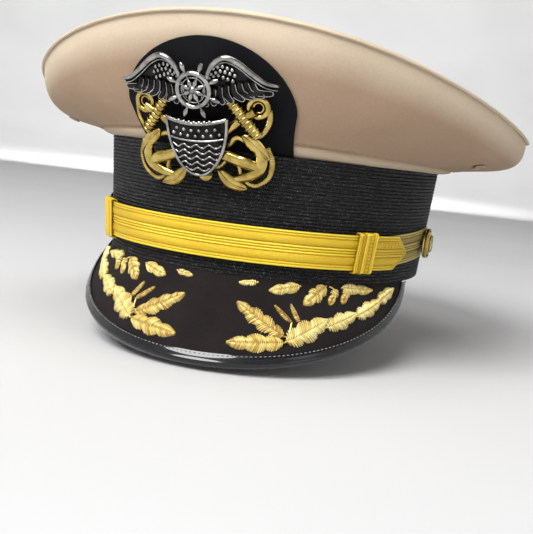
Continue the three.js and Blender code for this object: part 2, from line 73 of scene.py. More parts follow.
VISOR_REACH = 46.0
VISOR_SLOPE = 60 * DEGREE
VISOR_HALF_TURN = 75.5 * DEGREE
BINDING_WIDTH = 6.0

STRAP_MIDDLE = 16.4
STRAP_HALF = 8.8
STRAP_LEAN = 0.1
STRAP_TURN = 60 * DEGREE
FRONT_ARC = (81.002, -24.998)
SIDE_ARC = (130.998, -43.298)
SIDE_RISE = 3.8
TAB_LENGTH = 28.6
TAB_POINT = 11.0
KEEPER_TURN = 54 * DEGREE
BUTTON_TURN = 86 * DEGREE
BUTTON_RADIUS = 8.25
EYELET_TURN = 74.5 * DEGREE
EYELET_SHARE = 0.36
RIB_PITCH = 1.77
RIB_DEPTH = 0.62
SWEATBAND_HEIGHT = 38.0

BADGE_TURN = -3 * DEGREE
BADGE_TILT = 2.5 * DEGREE
BADGE_LEAN = 20 * DEGREE
BADGE_CURVE = 130.0
BADGE_OUT = 111.43
POST_HEIGHT = 47.0
MOUNT_TOP = 107.6
MOUNT_MIDDLE = 80.0
MOUNT_WIDTH = 82.0
MOUNT_FOOT = 70.0


# ---- gathering points and faces ------------------------------------------------------------------

class Shape:
    """Points in millimetres and the faces between them, gathered part by part."""

    def __init__(self):
        self.points, self.faces, self.uv, self.finish, self.shade = [], [], [], [], []
        self.count = 0

    def add(self, points, faces, uv=None, finish=0, shade=0.5):
        points = np.asarray(points, float).reshape(-1, 3)
        self.points.append(points)
        self.faces += [[self.count + i for i in face] for face in faces]
        self.uv += uv if uv is not None else [[(0.0, 0.0)] * len(face) for face in faces]
        self.finish += [finish] * len(faces)
        self.shade.append(np.broadcast_to(np.asarray(shade, float), len(points)))
        self.count += len(points)
        return self

    def moved(self, place):
        """The same shape with every point sent through place(x, y, z)."""
        self.points = [place(*np.concatenate(self.points).T)]
        return self


def grid(points, round_rows=False, round_columns=False, u=None, v=None, ends=False):
    """Faces of a surface given as rows and columns of points, closed in either direction."""
    rows, columns = points.shape[:2]
    i, j = np.meshgrid(
        np.arange(rows if round_rows else rows - 1),
        np.arange(columns if round_columns else columns - 1), indexing="ij")
    i, j = i.ravel(), j.ravel()
    i2, j2 = (i + 1) % rows, (j + 1) % columns
    corners = [(i, j), (i2, j), (i2, j2), (i, j2)]
    faces = np.stack([a * columns + b for a, b in corners], 1).tolist()
    uv = None
    if u is not None:
        u, v = np.asarray(u, float), np.asarray(v, float)
        across = [(u[i], v[j]), (u[i + 1], v[j]), (u[i + 1], v[j + 1]), (u[i], v[j + 1])]
        uv = np.stack([np.stack(c, 1) for c in across], 1).tolist()
    if ends:
        for row in (0, rows - 1):
            faces.append([row * columns + k for k in range(columns)])
            if uv is not None:
                uv.append([(0.0, 0.0)] * columns)
    return dict(points=points, faces=faces, uv=uv)


def tubes(paths, radius, sides=8, rise=1.0, up=(0, 0, 1)):
    """Bars along paths (count, stations, 3), closed at both ends; rise flattens them towards up."""
    paths = np.asarray(paths, float)
    if paths.ndim == 2:
        paths = paths[None]
    count, stations = paths.shape[:2]
    along = unit(np.gradient(paths, axis=1))
    across = unit(np.cross(along, np.broadcast_to(np.asarray(up, float), paths.shape)))
    lift = np.cross(across, along)
    radius = np.broadcast_to(np.asarray(radius, float), (count, stations))
    angle = np.arange(sides) * TURN / sides
    around = (across[:, :, None] * np.cos(angle)[:, None]
              + lift[:, :, None] * (rise * np.sin(angle))[:, None])
    points = paths[:, :, None] + radius[:, :, None, None] * around
    one = grid(points[0], round_columns=True, ends=True)["faces"]
    size = stations * sides
    faces = [[n * size + k for k in face] for n in range(count) for face in one]
    return dict(points=points, faces=faces)


def unit(vectors):
    return vectors / np.maximum(np.linalg.norm(vectors, axis=-1, keepdims=True), 1e-9)


def line_length(points):
    """Distance along a line of points, from 0."""
    steps = np.linalg.norm(np.diff(points, axis=0), axis=-1)
    return np.concatenate([[0.0], np.cumsum(steps)])


def normals_of(points, round_rows):
    """Unit normals of a surface of rows and columns, out from the middle of the cap."""
    if round_rows:
        wide = np.concatenate([points[-1:], points, points[:1]])
        down = np.gradient(wide, axis=0)[1:-1]
    else:
        down = np.gradient(points, axis=0)
    return unit(np.cross(down, np.gradient(points, axis=1)))


def shell(outer, thickness, round_rows=True):
    """A sheet of cloth from its outer surface, with its four edges closed."""
    inner = outer - normals_of(outer, round_rows) * thickness
    points = np.concatenate([outer, inner[:, ::-1]], axis=1)
    rows, columns = points.shape[:2]
    half = columns // 2
    u = line_length(np.concatenate([outer[:, half // 2], outer[:1, half // 2]]))
    v = line_length(outer[0])
    v = np.concatenate([v, v[::-1], v[:1]])
    made = grid(points, round_rows, True, u, v)
    if not round_rows:
        for row in (0, (rows - 1) * columns):
            for k in range(half - 1):
                made["faces"].append([row + k, row + k + 1, row + columns - 2 - k, row + columns - 1 - k])
                made["uv"].append([(0.0, 0.0)] * 4)
    return made


def build(name, shape, body, slot, finishes, *replaced):
    """One piece: a mesh with its materials, riding on a body of the frame."""
    mesh = bpy.data.meshes.new(name)
    mesh.from_pydata((np.concatenate(shape.points) * MM).tolist(), [], shape.faces)
    layer = mesh.uv_layers.new(name="UVMap")
    layer.data.foreach_set("uv", np.array([c for face in shape.uv for c in face], np.float32).ravel())
    shade = mesh.attributes.new("shade", "FLOAT", "POINT")
    shade.data.foreach_set("value", np.concatenate(shape.shade).astype(np.float32))
    for finish in finishes:
        mesh.materials.append(finish)
    mesh.polygons.foreach_set("material_index", np.array(shape.finish, np.int32))
    cleaned = bmesh.new()
    cleaned.from_mesh(mesh)
    bmesh.ops.remove_doubles(cleaned, verts=cleaned.verts, dist=1e-7)
    bmesh.ops.recalc_face_normals(cleaned, faces=cleaned.faces)
    cleaned.to_mesh(mesh)
    cleaned.free()
    mesh.shade_smooth()
    mesh.set_sharp_from_angle(angle=50 * DEGREE)
    piece = bpy.data.objects.new(name, mesh)
    bpy.context.scene.collection.objects.link(piece)
    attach(piece, body)
    if replaced:
        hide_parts(*replaced)
    return piece


# ---- going round the cap -------------------------------------------------------------------------

STEPS = 360
RING = np.arange(STEPS) * TURN / STEPS


def mix(a, b, share):
    return a + (b - a) * share


def oval(radius, height, turn):
    """Points round the head at angles from the front, from the three cuts' radii and heights."""
    sine, cosine = np.sin(turn), np.cos(turn)
    end_radius = np.where(cosine > 0, radius[1], radius[2])
    end_height = np.where(cosine > 0, height[1], height[2])
    share = np.abs(cosine) ** 1.6
    z = height[0] + (end_height - height[0]) * share
    return np.stack([radius[0] * sine, -end_radius * cosine, z + 0 * sine], -1)


def ring(radius, height, turn=RING):
    """Rows round the head and columns along the outline, whose cuts are (3, columns)."""
    height = np.broadcast_to(height, radius.shape)
    return oval(radius, height, turn[:, None])


def closed_ring(radius, height):
    """A ring whose outline closes on itself."""
    points = ring(radius, height)
    u = line_length(np.concatenate([points[:, 0], points[:1, 0]]))
    v = line_length(np.concatenate([points[0], points[0, :1]]))
    return grid(points, True, True, u, v)


def wall_points(share):
    """Radius and height of the cover's wall at its three cuts, share 0 at the band, 1 at the rim."""
    share = np.asarray(share, float)
    rise = RIM_HEIGHT - COVER_FOOT
    radii = [HEM_OUT, mix(HEM_OUT, RIM, WALL_OUT), RIM, RIM]
    heights = [COVER_FOOT + rise * up for up in (0.0, WALL_LOW, WALL_HIGH, 1.0)]
    weights = [(1 - share) ** 3, 3 * (1 - share) ** 2 * share, 3 * (1 - share) * share ** 2, share ** 3]
    radius = sum(r.reshape(3, *[1] * share.ndim) * w for r, w in zip(radii, weights))
    height = sum(h.reshape(3, *[1] * share.ndim) * w for h, w in zip(heights, weights))
    return radius, height


def on_wall(turn, share, out=0.0):
    """Points on the cover's wall, a distance out from it, for arrays of turn and share."""
    turn, share = np.broadcast_arrays(np.asarray(turn, float), np.asarray(share, float))
    near = 0.002
    point = lambda t, s: oval(*wall_points(s), t)
    around = point(turn + near, share) - point(turn - near, share)
    up = point(turn, np.minimum(share + near, 1)) - point(turn, np.maximum(share - near, 0))
    return point(turn, share) + unit(np.cross(around, up)) * np.asarray(out)[..., None]


def dome_points(share, lift):
    """Radius and height of the top panel's three cuts, share 0 at the rim, 1 in the middle."""
    flat = mix(RIM_HEIGHT[:, None], CROWN_CENTRE - CROWN_SWELL, share)
    return RIM[:, None] * (1 - share), flat + CROWN_SWELL * (1 - (1 - share) ** 2) + lift


def flat_cloth(high, thickness):
    """A cloth panel from its upper face, with its weave running straight across it in mm."""
    low = high - np.array([0, 0, thickness])
    points = np.concatenate([high, low[:, ::-1]], 1)
    made = grid(points, True, True)
    flat = points.reshape(-1, 3)[:, :2].tolist()
    made["uv"] = [[flat[i] for i in face] for face in made["faces"]]
    return made


def soft_waves(turn, share, size, seed):
    """Slow unevenness of stretched cloth: a few waves round the cap that fade at both edges."""
    draw = np.random.default_rng(seed)
    total = 0.0
    for count in (3, 5, 8, 13, 21):
        phase, lean = draw.uniform(0, TURN), draw.uniform(-3, 3)
        total = total + np.sin(count * turn + lean * share * 3 + phase) / math.sqrt(count)
    return size * total * np.sin(np.pi * np.clip(share, 0, 1)) ** 0.7


def visor_reach(turn):
    return VISOR_REACH * np.maximum(0, 1 - (turn / VISOR_HALF_TURN) ** 2) ** 0.84


def on_visor(turn, along, under):
    """Points of the visor: along its slope from the band's lower edge, and under the cloth's face."""
    edge = np.stack([BAND_FOOT[0] * np.sin(turn), -BAND_FOOT[1] * np.cos(turn)], -1)
    out = unit(np.stack([np.sin(turn) / BAND_FOOT[0], -np.cos(turn) / BAND_FOOT[1]], -1))
    away = along * math.cos(VISOR_SLOPE) - under * math.sin(VISOR_SLOPE)
    z = -along * math.sin(VISOR_SLOPE) - under * math.cos(VISOR_SLOPE)
    level = edge + out * away[..., None]
    return np.concatenate([level, z[..., None]], -1)


def visor_start(under):
    """Where a layer of the visor starts, level with the band's lower edge but for a small gap."""
    return (0.3 - under * math.cos(VISOR_SLOPE)) / math.sin(VISOR_SLOPE)


def on_strap(turn, out, z):
    """Points by the strap: facing angle from the front, distance out from its line, and height."""
    turn, out, z = np.broadcast_arrays(*[np.asarray(a, float) for a in (turn, out, z)])
    lean = out + STRAP_LEAN * (z - STRAP_MIDDLE)
    face, sign = np.abs(turn), np.where(turn < 0, -1, 1)
    front = face <= STRAP_TURN
    r = np.where(front, FRONT_ARC[0], SIDE_ARC[0]) + lean
    x = sign * (np.where(front, 0, SIDE_ARC[1]) + r * np.sin(face))
    y = np.where(front, FRONT_ARC[1], 0) - r * np.cos(face)
    return np.stack([x, y, z], -1)


def turned(a, b, angle):
    """Two coordinates turned about the third."""
    cosine, sine = math.cos(angle), math.sin(angle)
    return a * cosine - b * sine, a * sine + b * cosine


def on_badge(x, y, z):
    """From the badge's own plane (across, up from the post, out) to the cap."""
    z = z - x ** 2 / (2 * BADGE_CURVE)
    x, y = turned(x, y, BADGE_TILT)
    y, z = turned(y, z, math.pi / 2 + BADGE_LEAN)
    x, y = turned(x, y - BADGE_OUT, BADGE_TURN)
    return np.stack([x, y, z + POST_HEIGHT], -1)


def side_name(sign):
    """The wearer's left is the positive x side."""
    return "left" if sign > 0 else "right"


# ---- materials -----------------------------------------------------------------------------------

class Finish:
    """A node material: one principled shader, and short calls for the textures that feed it."""

    def __init__(self, name, **values):
        self.material = bpy.data.materials.new(name)
        self.material.use_nodes = True
        self.tree = self.material.node_tree
        self.shader = self.tree.nodes["Principled BSDF"]
        self.relief = None
        for key, value in values.items():
            self.set(key.replace("_", " ").title().replace("Ior", "IOR"), value)

    def feed(self, socket, value):
        """Gives an input a number or a colour, or links another node's output to it."""
        if isinstance(value, bpy.types.NodeSocket):
            self.tree.links.new(value, socket)
        elif isinstance(value, tuple) and len(socket.default_value) > len(value):
            socket.default_value = (*value, 1.0)
        else:
            socket.default_value = value

    def set(self, name, value):
        self.feed(self.shader.inputs[name], value)

    def node(self, kind, inputs=(), **settings):
        made = self.tree.nodes.new(kind)
        for key, value in settings.items():
            setattr(made, key, value)
        for key, value in dict(inputs).items():
            self.feed(made.inputs[key], value)
        return made

    def place(self, kind="Object"):
        """Texture coordinates: Object is the cap's own frame in metres, UV is in mm on the piece."""
        return self.node("ShaderNodeTexCoord").outputs[kind]

    def noise(self, scale, detail=3.0, roughness=0.5):
        made = self.node("ShaderNodeTexNoise", {
            "Vector": self.place(), "Scale": scale, "Detail": detail, "Roughness": roughness})
        return made.outputs["Fac"]

    def math(self, operation, a, b=0.0, c=0.0):
        return self.node("ShaderNodeMath", {0: a, 1: b, 2: c}, operation=operation).outputs["Value"]

    def total(self, *parts):
        """The sum of some (value, weight) pairs."""
        result = 0.0
        for value, weight in parts:
            result = self.math("MULTIPLY_ADD", value, weight, result)
        return result

    def sine(self, value, pitch):
        """A wave from -1 to 1 that repeats every pitch of value."""
        return self.math("SINE", self.math("MULTIPLY", value, TURN / pitch))

    def flat(self):
        """The two UV coordinates, in mm."""
        split = self.node("ShaderNodeSeparateXYZ", {"Vector": self.place("UV")})
        return split.outputs["X"], split.outputs["Y"]

    def shade(self):
        """The brightness that build() stored on each point of the piece."""
        return self.node("ShaderNodeAttribute", attribute_name="shade").outputs["Fac"]

    def ramp(self, factor, *stops):
        """Colours or greys between stops of (position, value)."""
        made = self.node("ShaderNodeValToRGB", {"Fac": factor})
        band = made.color_ramp.elements
        while len(band) < len(stops):
            band.new(0.5)
        for element, (position, value) in zip(band, stops):
            element.position = position
            element.color = (*value, 1.0) if isinstance(value, tuple) else (value, value, value, 1.0)
        return made.outputs["Color"]

    def blend(self, factor, a, b):
        """Colour a where the factor is 0, b where it is 1; the numbers pick the node's colour sockets."""
        return self.node("ShaderNodeMix", {0: factor, 6: a, 7: b}, data_type="RGBA").outputs[2]

    def bump(self, height, depth_mm, strength=1.0):
        """Adds relief of a depth in mm to what is there already."""
        inputs = {"Height": height, "Distance": depth_mm * MM, "Strength": strength}
        if self.relief is not None:
            inputs["Normal"] = self.relief
        self.relief = self.node("ShaderNodeBump", inputs).outputs["Normal"]
        self.set("Normal", self.relief)


KHAKI_TONES = (0.325, 0.222, 0.148), (0.385, 0.268, 0.184)
# Paler copies of the khaki tones, painted light: for the top panel and the welt, and for the wall near its
# rim and on its strip below the seam.
PAINTED_LIGHT_TONES = (0.50, 0.405, 0.295), (0.58, 0.475, 0.355)


def khaki_twill(name, tones, rim=None):
    """Twill in two close tones. Given the wall's height, it is painted paler near the rim and below the seam,
    as painted light.
    """
    f = Finish(name, roughness=0.85, specular_ior_level=0.2, sheen_weight=0.12, sheen_roughness=0.4)
    u, v = f.flat()
    twill = f.sine(f.math("ADD", u, v), 0.75)
    cross = f.sine(f.math("SUBTRACT", u, v), 0.5)
    weave = f.total((twill, 0.35), (cross, 0.15))
    slow = f.noise(14.0, 4.0)
    fine = f.noise(900.0, 2.0)
    tone = f.total((slow, 0.7), (fine, 0.3))
    colour = f.ramp(tone, (0.35, tones[0]), (0.65, tones[1]))
    # Painted light: near the rim and on the strip below the seam the wall is blended to the paler tones.
    if rim:
        painted_light_colour = f.ramp(tone, (0.35, PAINTED_LIGHT_TONES[0]), (0.65, PAINTED_LIGHT_TONES[1]))
        height = f.total((v, 1 / rim), (slow, 0.06))
        share = f.ramp(height, (0.13, 0.8), (0.16, 0.0), (0.70, 0.0), (0.93, 1.0))
        colour = f.blend(share, colour, painted_light_colour)
    f.set("Base Color", colour)
    f.set("Sheen Tint", (0.9, 0.8, 0.65))
    f.bump(weave, 0.06)
    f.bump(fine, 0.05)
    f.bump(f.noise(90.0, 2.0), 0.25, 0.5)
    return f.material


def black_braid():
    f = Finish("black_braid", roughness=0.6, specular_ior_level=0.2)
    u, v = f.flat()
    row = f.math("FLOOR", f.math("DIVIDE", v, RIB_PITCH))
    twist = f.sine(f.total((u, 1.0), (row, 0.55), (v, 0.9)), 1.1)
    speck = f.noise(1500.0, 2.0, roughness=0.7)
    # Painted glints: small bright flecks on the braid's twists, put into its base colour.
    glint_mask = f.ramp(speck, (0.56, 0.0), (0.72, 1.0))
    lit = f.math("MULTIPLY", glint_mask, f.ramp(twist, (0.3, 0.15), (0.9, 1.0)))
    f.set("Base Color", f.blend(lit, (0.006, 0.006, 0.007), (0.36, 0.36, 0.37)))
    f.set("Roughness", f.ramp(speck, (0.3, 0.7), (0.75, 0.42)))
    f.bump(twist, 0.12)
    f.bump(speck, 0.08)
    return f.material


def felt(name, dark, light):
    f = Finish(name, roughness=0.95, specular_ior_level=0.15, sheen_weight=0.03, sheen_roughness=0.5)
    fibre = f.noise(1600.0, 4.0, roughness=0.7)
    slow = f.noise(60.0, 3.0)
    tone = f.total((fibre, 0.6), (slow, 0.4))
    f.set("Base Color", f.ramp(tone, (0.3, dark), (0.7, light)))
    f.bump(fibre, 0.15)
    return f.material


def patent():
    f = Finish("patent", base_color=(0.003, 0.003, 0.004), roughness=0.2, specular_ior_level=0.12,
               coat_weight=1.0, coat_roughness=0.05, coat_ior=1.5)
    wear = f.noise(160.0, 5.0)
    f.set("Roughness", f.ramp(wear, (0.3, 0.16), (0.8, 0.38)))
    f.bump(f.noise(70.0, 2.0), 0.25, 0.35)
    f.bump(f.noise(700.0, 2.0), 0.02)
    return f.material


def leather():
    f = Finish("leather", roughness=0.5, specular_ior_level=0.35)
    cells = f.node("ShaderNodeTexVoronoi", {"Vector": f.place(), "Scale": 900.0}, feature="DISTANCE_TO_EDGE")
    grain = cells.outputs["Distance"]
    slow = f.noise(30.0, 4.0)
    f.set("Base Color", f.ramp(slow, (0.3, (0.075, 0.035, 0.018)), (0.7, (0.14, 0.07, 0.036))))
    f.set("Roughness", f.ramp(slow, (0.3, 0.4), (0.7, 0.62)))
    f.bump(f.ramp(grain, (0.0, 0.0), (0.12, 1.0)), 0.12)
    return f.material


def woven(name, dark, light, pitch):
    """A plain weave: warp and weft over and under each other."""
    f = Finish(name, roughness=0.7, specular_ior_level=0.25)
    u, v = f.flat()
    over = f.math("MULTIPLY", f.sine(u, pitch), f.sine(v, pitch))
    slow = f.noise(120.0, 4.0)
    tone = f.total((over, 0.25), (slow, 1.0))
    f.set("Base Color", f.ramp(tone, (0.25, dark), (0.75, light)))
    f.bump(over, 0.15)
    return f.material


def gold_lace(name, groove, fillet, crest):
    """Woven gold wire: painted shade between its cords, yellow on its flats, a painted highlight along the
    crests.
    """
    f = Finish(name, metallic=0.3, roughness=0.34, specular_ior_level=0.5)
    u, v = f.flat()
    wire = f.sine(u, 0.62)
    fine = f.noise(900.0, 2.0)
    slow = f.noise(55.0, 3.0)
    tone = f.total((f.shade(), 0.8), (fine, 0.16), (slow, 0.14), (wire, 0.03))
    # The stored brightness paints shade in the grooves and a highlight on the crests.
    f.set("Base Color", f.ramp(tone, (0.12, groove), (0.5, fillet), (0.95, crest)))
    f.set("Roughness", f.ramp(fine, (0.3, 0.3), (0.7, 0.5)))
    f.bump(wire, 0.05)
    f.bump(f.sine(v, 0.45), 0.03)
    return f.material


def bullion():
    """Gold embroidery thread: each thread has its own brightness, and the gaps between show the padding,
    painted dark as shade.
    """
    f = Finish("bullion", metallic=0.3, roughness=0.4, specular_ior_level=0.5, sheen_weight=0.1)
    fine = f.noise(700.0, 2.0)
    tone = f.total((f.shade(), 0.8), (fine, 0.2))
    f.set("Base Color", f.ramp(tone, (0.08, (0.10, 0.05, 0.008)), (0.3, (0.40, 0.24, 0.045)),
                               (0.6, (0.74, 0.57, 0.17)), (0.95, (0.96, 0.88, 0.42))))
    f.bump(fine, 0.05)
    return f.material


def metal(name, dark, bright, roughness, recess_shade=None):
    """Polished plated metal with small dents and dulled patches, and painted shade in its recesses."""
    f = Finish(name, metallic=1.0, roughness=roughness)
    cloud = f.noise(220.0, 4.0)
    colour = f.ramp(cloud, (0.3, dark), (0.65, bright))
    if recess_shade:
        reach = {"Distance": 2.2 * MM}
        # Painted shade: colour darkened where ambient occlusion finds nearby surfaces.
        unshaded = f.node("ShaderNodeAmbientOcclusion", reach, samples=8).outputs["AO"]
        colour = f.blend(f.ramp(unshaded, (0.42, 0.0), (0.86, 1.0)), recess_shade, colour)
    f.set("Base Color", colour)
    f.set("Roughness", f.ramp(cloud, (0.3, roughness * 1.6), (0.7, roughness * 0.8)))
    f.bump(f.noise(500.0, 3.0), 0.03)
    return f.material


def thread(name, dark, light):
    f = Finish(name, roughness=0.6, specular_ior_level=0.3)
    f.set("Base Color", f.ramp(f.noise(800.0, 2.0), (0.3, dark), (0.7, light)))
    f.bump(f.noise(1500.0, 2.0), 0.05)
    return f.material


KHAKI = khaki_twill("khaki_twill", KHAKI_TONES)
# The top panel's and the welt's khaki: the paler copy, painted light falling on the top from above.
KHAKI_TOP = khaki_twill("khaki_top", PAINTED_LIGHT_TONES)
BRAID = black_braid()
MOUNT_FELT = felt("black_felt", (0.002, 0.002, 0.003), (0.008, 0.008, 0.010))
VISOR_FELT = felt("visor_felt", (0.007, 0.005, 0.005), (0.017, 0.013, 0.013))
PATENT = patent()
LEATHER = leather()
CANE = woven("cane", (0.28, 0.20, 0.10), (0.52, 0.40, 0.22), 2.4)
LINING = woven("lining_cloth", (0.50, 0.46, 0.36), (0.66, 0.62, 0.50), 0.8)
LACE = gold_lace("gold_lace", (0.30, 0.15, 0.0), (0.62, 0.38, 0.004), (0.85, 0.66, 0.05))
# A darker copy of the lace for the side straps: painted shade, for straps that turn away from the light.
LACE_SIDE = gold_lace("gold_lace_side", (0.03, 0.018, 0.002), (0.14, 0.09, 0.006), (0.66, 0.52, 0.12))
BULLION = bullion()
GILT = metal("gilt", (0.36, 0.25, 0.06), (0.68, 0.52, 0.17), 0.13, recess_shade=(0.04, 0.018, 0.004))
SILVER = metal("silver", (0.20, 0.20, 0.195), (0.46, 0.455, 0.44), 0.12, recess_shade=(0.012, 0.012, 0.012))
# A dark copy of the silver, painted dark reflection, for the shield's face, the wing sheets and feathers, and
# the wheel's disc.
SILVER_DARK = metal("silver_dark", (0.008, 0.0075, 0.0075), (0.035, 0.033, 0.032), 0.36,
                    recess_shade=(0.003, 0.003, 0.003))
EYELET = metal("painted_brass", (0.36, 0.29, 0.19), (0.56, 0.46, 0.32), 0.4)
STEEL = metal("steel", (0.30, 0.30, 0.31), (0.52, 0.52, 0.54), 0.32)
KHAKI_THREAD = thread("khaki_thread", (0.34, 0.24, 0.14), (0.52, 0.39, 0.25))
GREY_THREAD = thread("grey_thread", (0.10, 0.10, 0.10), (0.34, 0.34, 0.34))
TAPE = woven("stay_tape", (0.006, 0.006, 0.006), (0.03, 0.03, 0.03), 0.9)


# ---- the frame and its band ----------------------------------------------------------------------

def stitches(lines, radius):
    """Short rounds of thread along lines (count, stations, 3), thinner where they enter the cloth."""
    lines = np.asarray(lines, float)
    taper = 0.45 + 0.55 * np.sin(np.linspace(0, math.pi, lines.shape[1]))
    return tubes(lines, radius * taper, sides=6, up=(0.13, 0.21, 0.97))


def stitch_row(point, count, share=0.62, stations=5, sink=0.3):
    """Stitch lines by a function point(position from 0 to 1, rise), each a share of the pitch long."""
    starts = np.arange(count) / count
    along = np.linspace(0, share / count, stations)
    rise = np.sin(np.linspace(0, math.pi, stations)) * 2 * sink - sink
    return point(starts[:, None] + along, np.broadcast_to(rise, (count, stations)))


def mohair_band():
    """Ribbed braid round the frame, rolled under at its lower edge, with a join at the back."""
    per_rib = 8
    ribs = int(BAND_HEIGHT / RIB_PITCH)
    rise = np.linspace(0, 1, ribs * per_rib + 1)
    wave = np.abs(np.sin(np.pi * rise * ribs)) ** 0.55
    radius = mix(BAND_FOOT[:, None], BAND_TOP[:, None], rise) - RIB_DEPTH * (1 - wave) + 0.1
    height = np.broadcast_to(rise * BAND_HEIGHT, radius.shape)
    hem_room = np.array([3, 3.5, 2.6])
    inner_radius = np.stack([TUCK + hem_room, TUCK + hem_room, TUCK + 2, BAND_FOOT - BAND_CLOTH], 1)
    inner_height = np.array([BAND_HEIGHT - 0.4, BAND_HEIGHT - HEM_DEPTH, TUCK_FLOOR, 0.4])
    inner_height = np.broadcast_to(inner_height, inner_radius.shape)
    radius = np.concatenate([radius, inner_radius], 1)
    height = np.concatenate([height, inner_height], 1)
    points = ring(radius, height)
    from_back = np.abs(RING - math.pi)
    overlap = 0.4 * np.clip(1 - from_back / (1.6 * DEGREE), 0, 1) ** 0.5
    out = unit(points * np.array([1, 1, 0]))
    points[:, :len(rise)] += out[:, :len(rise)] * overlap[:, None, None]
    u = line_length(np.concatenate([points[:, 0], points[:1, 0]]))
    hidden = [BAND_HEIGHT + 1, 66, 74, 110, 111]
    v = np.concatenate([rise * BAND_HEIGHT, hidden])
    band = Shape().add(**grid(points, True, True, u, v))
    piece = build("band_braid", band, "frame", "black_braid", [BRAID], "mohair_band")


def frame_shell():
    """The cane frame: a thin ring that the band's braid and the sweatband lie against."""
    foot, cane = BAND_FOOT - BAND_CLOTH - 0.3, 1.4
    radius = np.stack([foot, TUCK, TUCK, TUCK - cane, TUCK - cane, foot - cane], 1)
    height = np.array([0.5, TUCK_FLOOR, 57, 57, TUCK_FLOOR, 0.5])
    shape = Shape().add(**closed_ring(radius, height))
    build("frame_cane", shape, "frame", "cane", [CANE], "frame_shell")


def sweatband():
    """Leather band inside the frame, with a stitched lower edge and a laced join at the back."""
    out = BAND_FOOT - 4.2
    rise = np.linspace(0, 1, 24)
    roll = 0.5 * np.exp(-((rise - 0.03) / 0.02) ** 2) + 0.35 * np.exp(-((rise - 0.97) / 0.02) ** 2)
    outer = out[:, None] + 0 * rise
    inner = out[:, None] - 1.2 - roll
    radius = np.concatenate([outer, inner[:, ::-1]], 1)
    height = np.concatenate([rise, rise[::-1]]) * SWEATBAND_HEIGHT
    shape = Shape().add(**closed_ring(radius, np.broadcast_to(height, radius.shape)))
    for at in (2.6, SWEATBAND_HEIGHT - 2.4):
        face = (out - 1.45)[:, None, None]
        point = lambda s, lift, z=at: oval(face - lift, np.full((3, 1, 1), z), s * TURN)
        shape.add(**stitches(stitch_row(point, 150), 0.32), finish=1)
    lace = []
    for low in 6 + 3.6 * np.arange(8):
        height = np.broadcast_to(np.linspace(low, low + 3.4, 7), (3, 7))
        for side in (1, -1):
            turn = math.pi + np.linspace(-side, side, 7) * 1.4 * DEGREE
            lace.append(oval((out - 1.7)[:, None], height, turn))
    shape.add(**tubes(np.array(lace), 0.35, sides=6), finish=1)
    build("sweatband_leather", shape, "frame", "leather", [LEATHER, GREY_THREAD], "sweatband")


def stay_pocket():
    """A tape sewn inside the band's front, in which the stay's two legs stand."""
    half_turn = 14 * DEGREE
    turn = np.linspace(-half_turn, half_turn, 60)
    out = BAND_FOOT - 3.9
    rise = np.linspace(29, 37.5, 10)
    radius = (out + 0.5)[:, None] + 0.15 * np.sin(np.linspace(0, math.pi, 10))
    outer = ring(radius, np.broadcast_to(rise, radius.shape), turn)
    shape = Shape().add(**shell(outer, 0.5, round_rows=False))
    build("stay_pocket_tape", shape, "frame", "black_felt", [TAPE], "stay_pocket")


# ---- the cover -----------------------------------------------------------------------------------

SEAM_SHARE = 0.115
WALL_SHARES = np.concatenate([np.linspace(0, 0.2, 28), np.linspace(0.215, 0.93, 40), np.linspace(0.94, 1, 8)])


def cover_side():
    """The cover's wall: a hem seam above the band, light pulls in the cloth, and a join at the back."""
    outer = ring(*wall_points(WALL_SHARES))
    turn, share = RING[:, None], WALL_SHARES[None, :]
    from_seam = (share - SEAM_SHARE) / 0.012
    crease = -0.8 * np.exp(-(from_seam * 1.3) ** 2) + 0.3 * np.exp(-(from_seam - 2.2) ** 2 / 2)
    beside_mount = np.clip((np.abs(turn - BADGE_TURN - TURN * (turn > math.pi)) / DEGREE - 22) / 4, 0, 1)
    strip = (0.4 + 1.1 * beside_mount) * np.sin(np.pi * np.clip(share / SEAM_SHARE, 0, 1)) ** 0.5
    pulls = 0.0
    for count, size, phase in ((38, 0.09, 0.4), (61, 0.07, 2.1), (97, 0.05, 1.2)):
        pulls = pulls + size * np.sin(count * turn + phase + 9 * share)
    pulls = pulls * np.exp(-np.abs(share - SEAM_SHARE) / 0.07) * np.clip(share / 0.03, 0, 1)
    from_back = np.abs(turn - math.pi) / (0.9 * DEGREE)
    join = -0.5 * np.exp(-from_back ** 2)
    relief = crease + strip + pulls + join + soft_waves(turn, share, 0.35, 3)
    outer = outer + normals_of(outer, True) * relief[..., None]
    shape = Shape().add(**shell(outer, COVER_CLOTH))
    # The wall's khaki, painted paler near the rim and below the seam as light.
    cloth = khaki_twill("khaki_wall", KHAKI_TONES, line_length(outer[0])[-1])
    point = lambda s, lift: on_wall(s * TURN, np.full(s.shape, SEAM_SHARE + 0.012), lift + 0.12)
    shape.add(**stitches(stitch_row(point, 176, 0.7, 5, 0.16), 0.22), finish=1)
    piece = build("cover_side_cloth", shape, "cover", "khaki_twill", [cloth, KHAKI_THREAD], "cover_side")


def cover_top():
    """The top panel, stretched over the hoop, sagging a little between the rim and the middle."""
    share = np.concatenate([np.linspace(0.002, 0.06, 10), np.linspace(0.075, 0.97, 44), [0.985, 1.0]])
    radius, height = dome_points(share, 1.8)
    turn = RING[:, None]
    high = ring(radius, height)
    edge = -1.0 * np.exp(-(share / 0.006) ** 2) + 0.35 * np.exp(-((share - 0.025) / 0.015) ** 2)
    high[..., 2] += edge + soft_waves(turn, share, 0.45, 11) * (1 - share ** 3)
    shape = Shape().add(**flat_cloth(high, COVER_CLOTH))
    # The top panel takes the paler khaki, painted light.
    piece = build("cover_top_cloth", shape, "cover", "khaki_twill", [KHAKI_TOP], "cover_top")


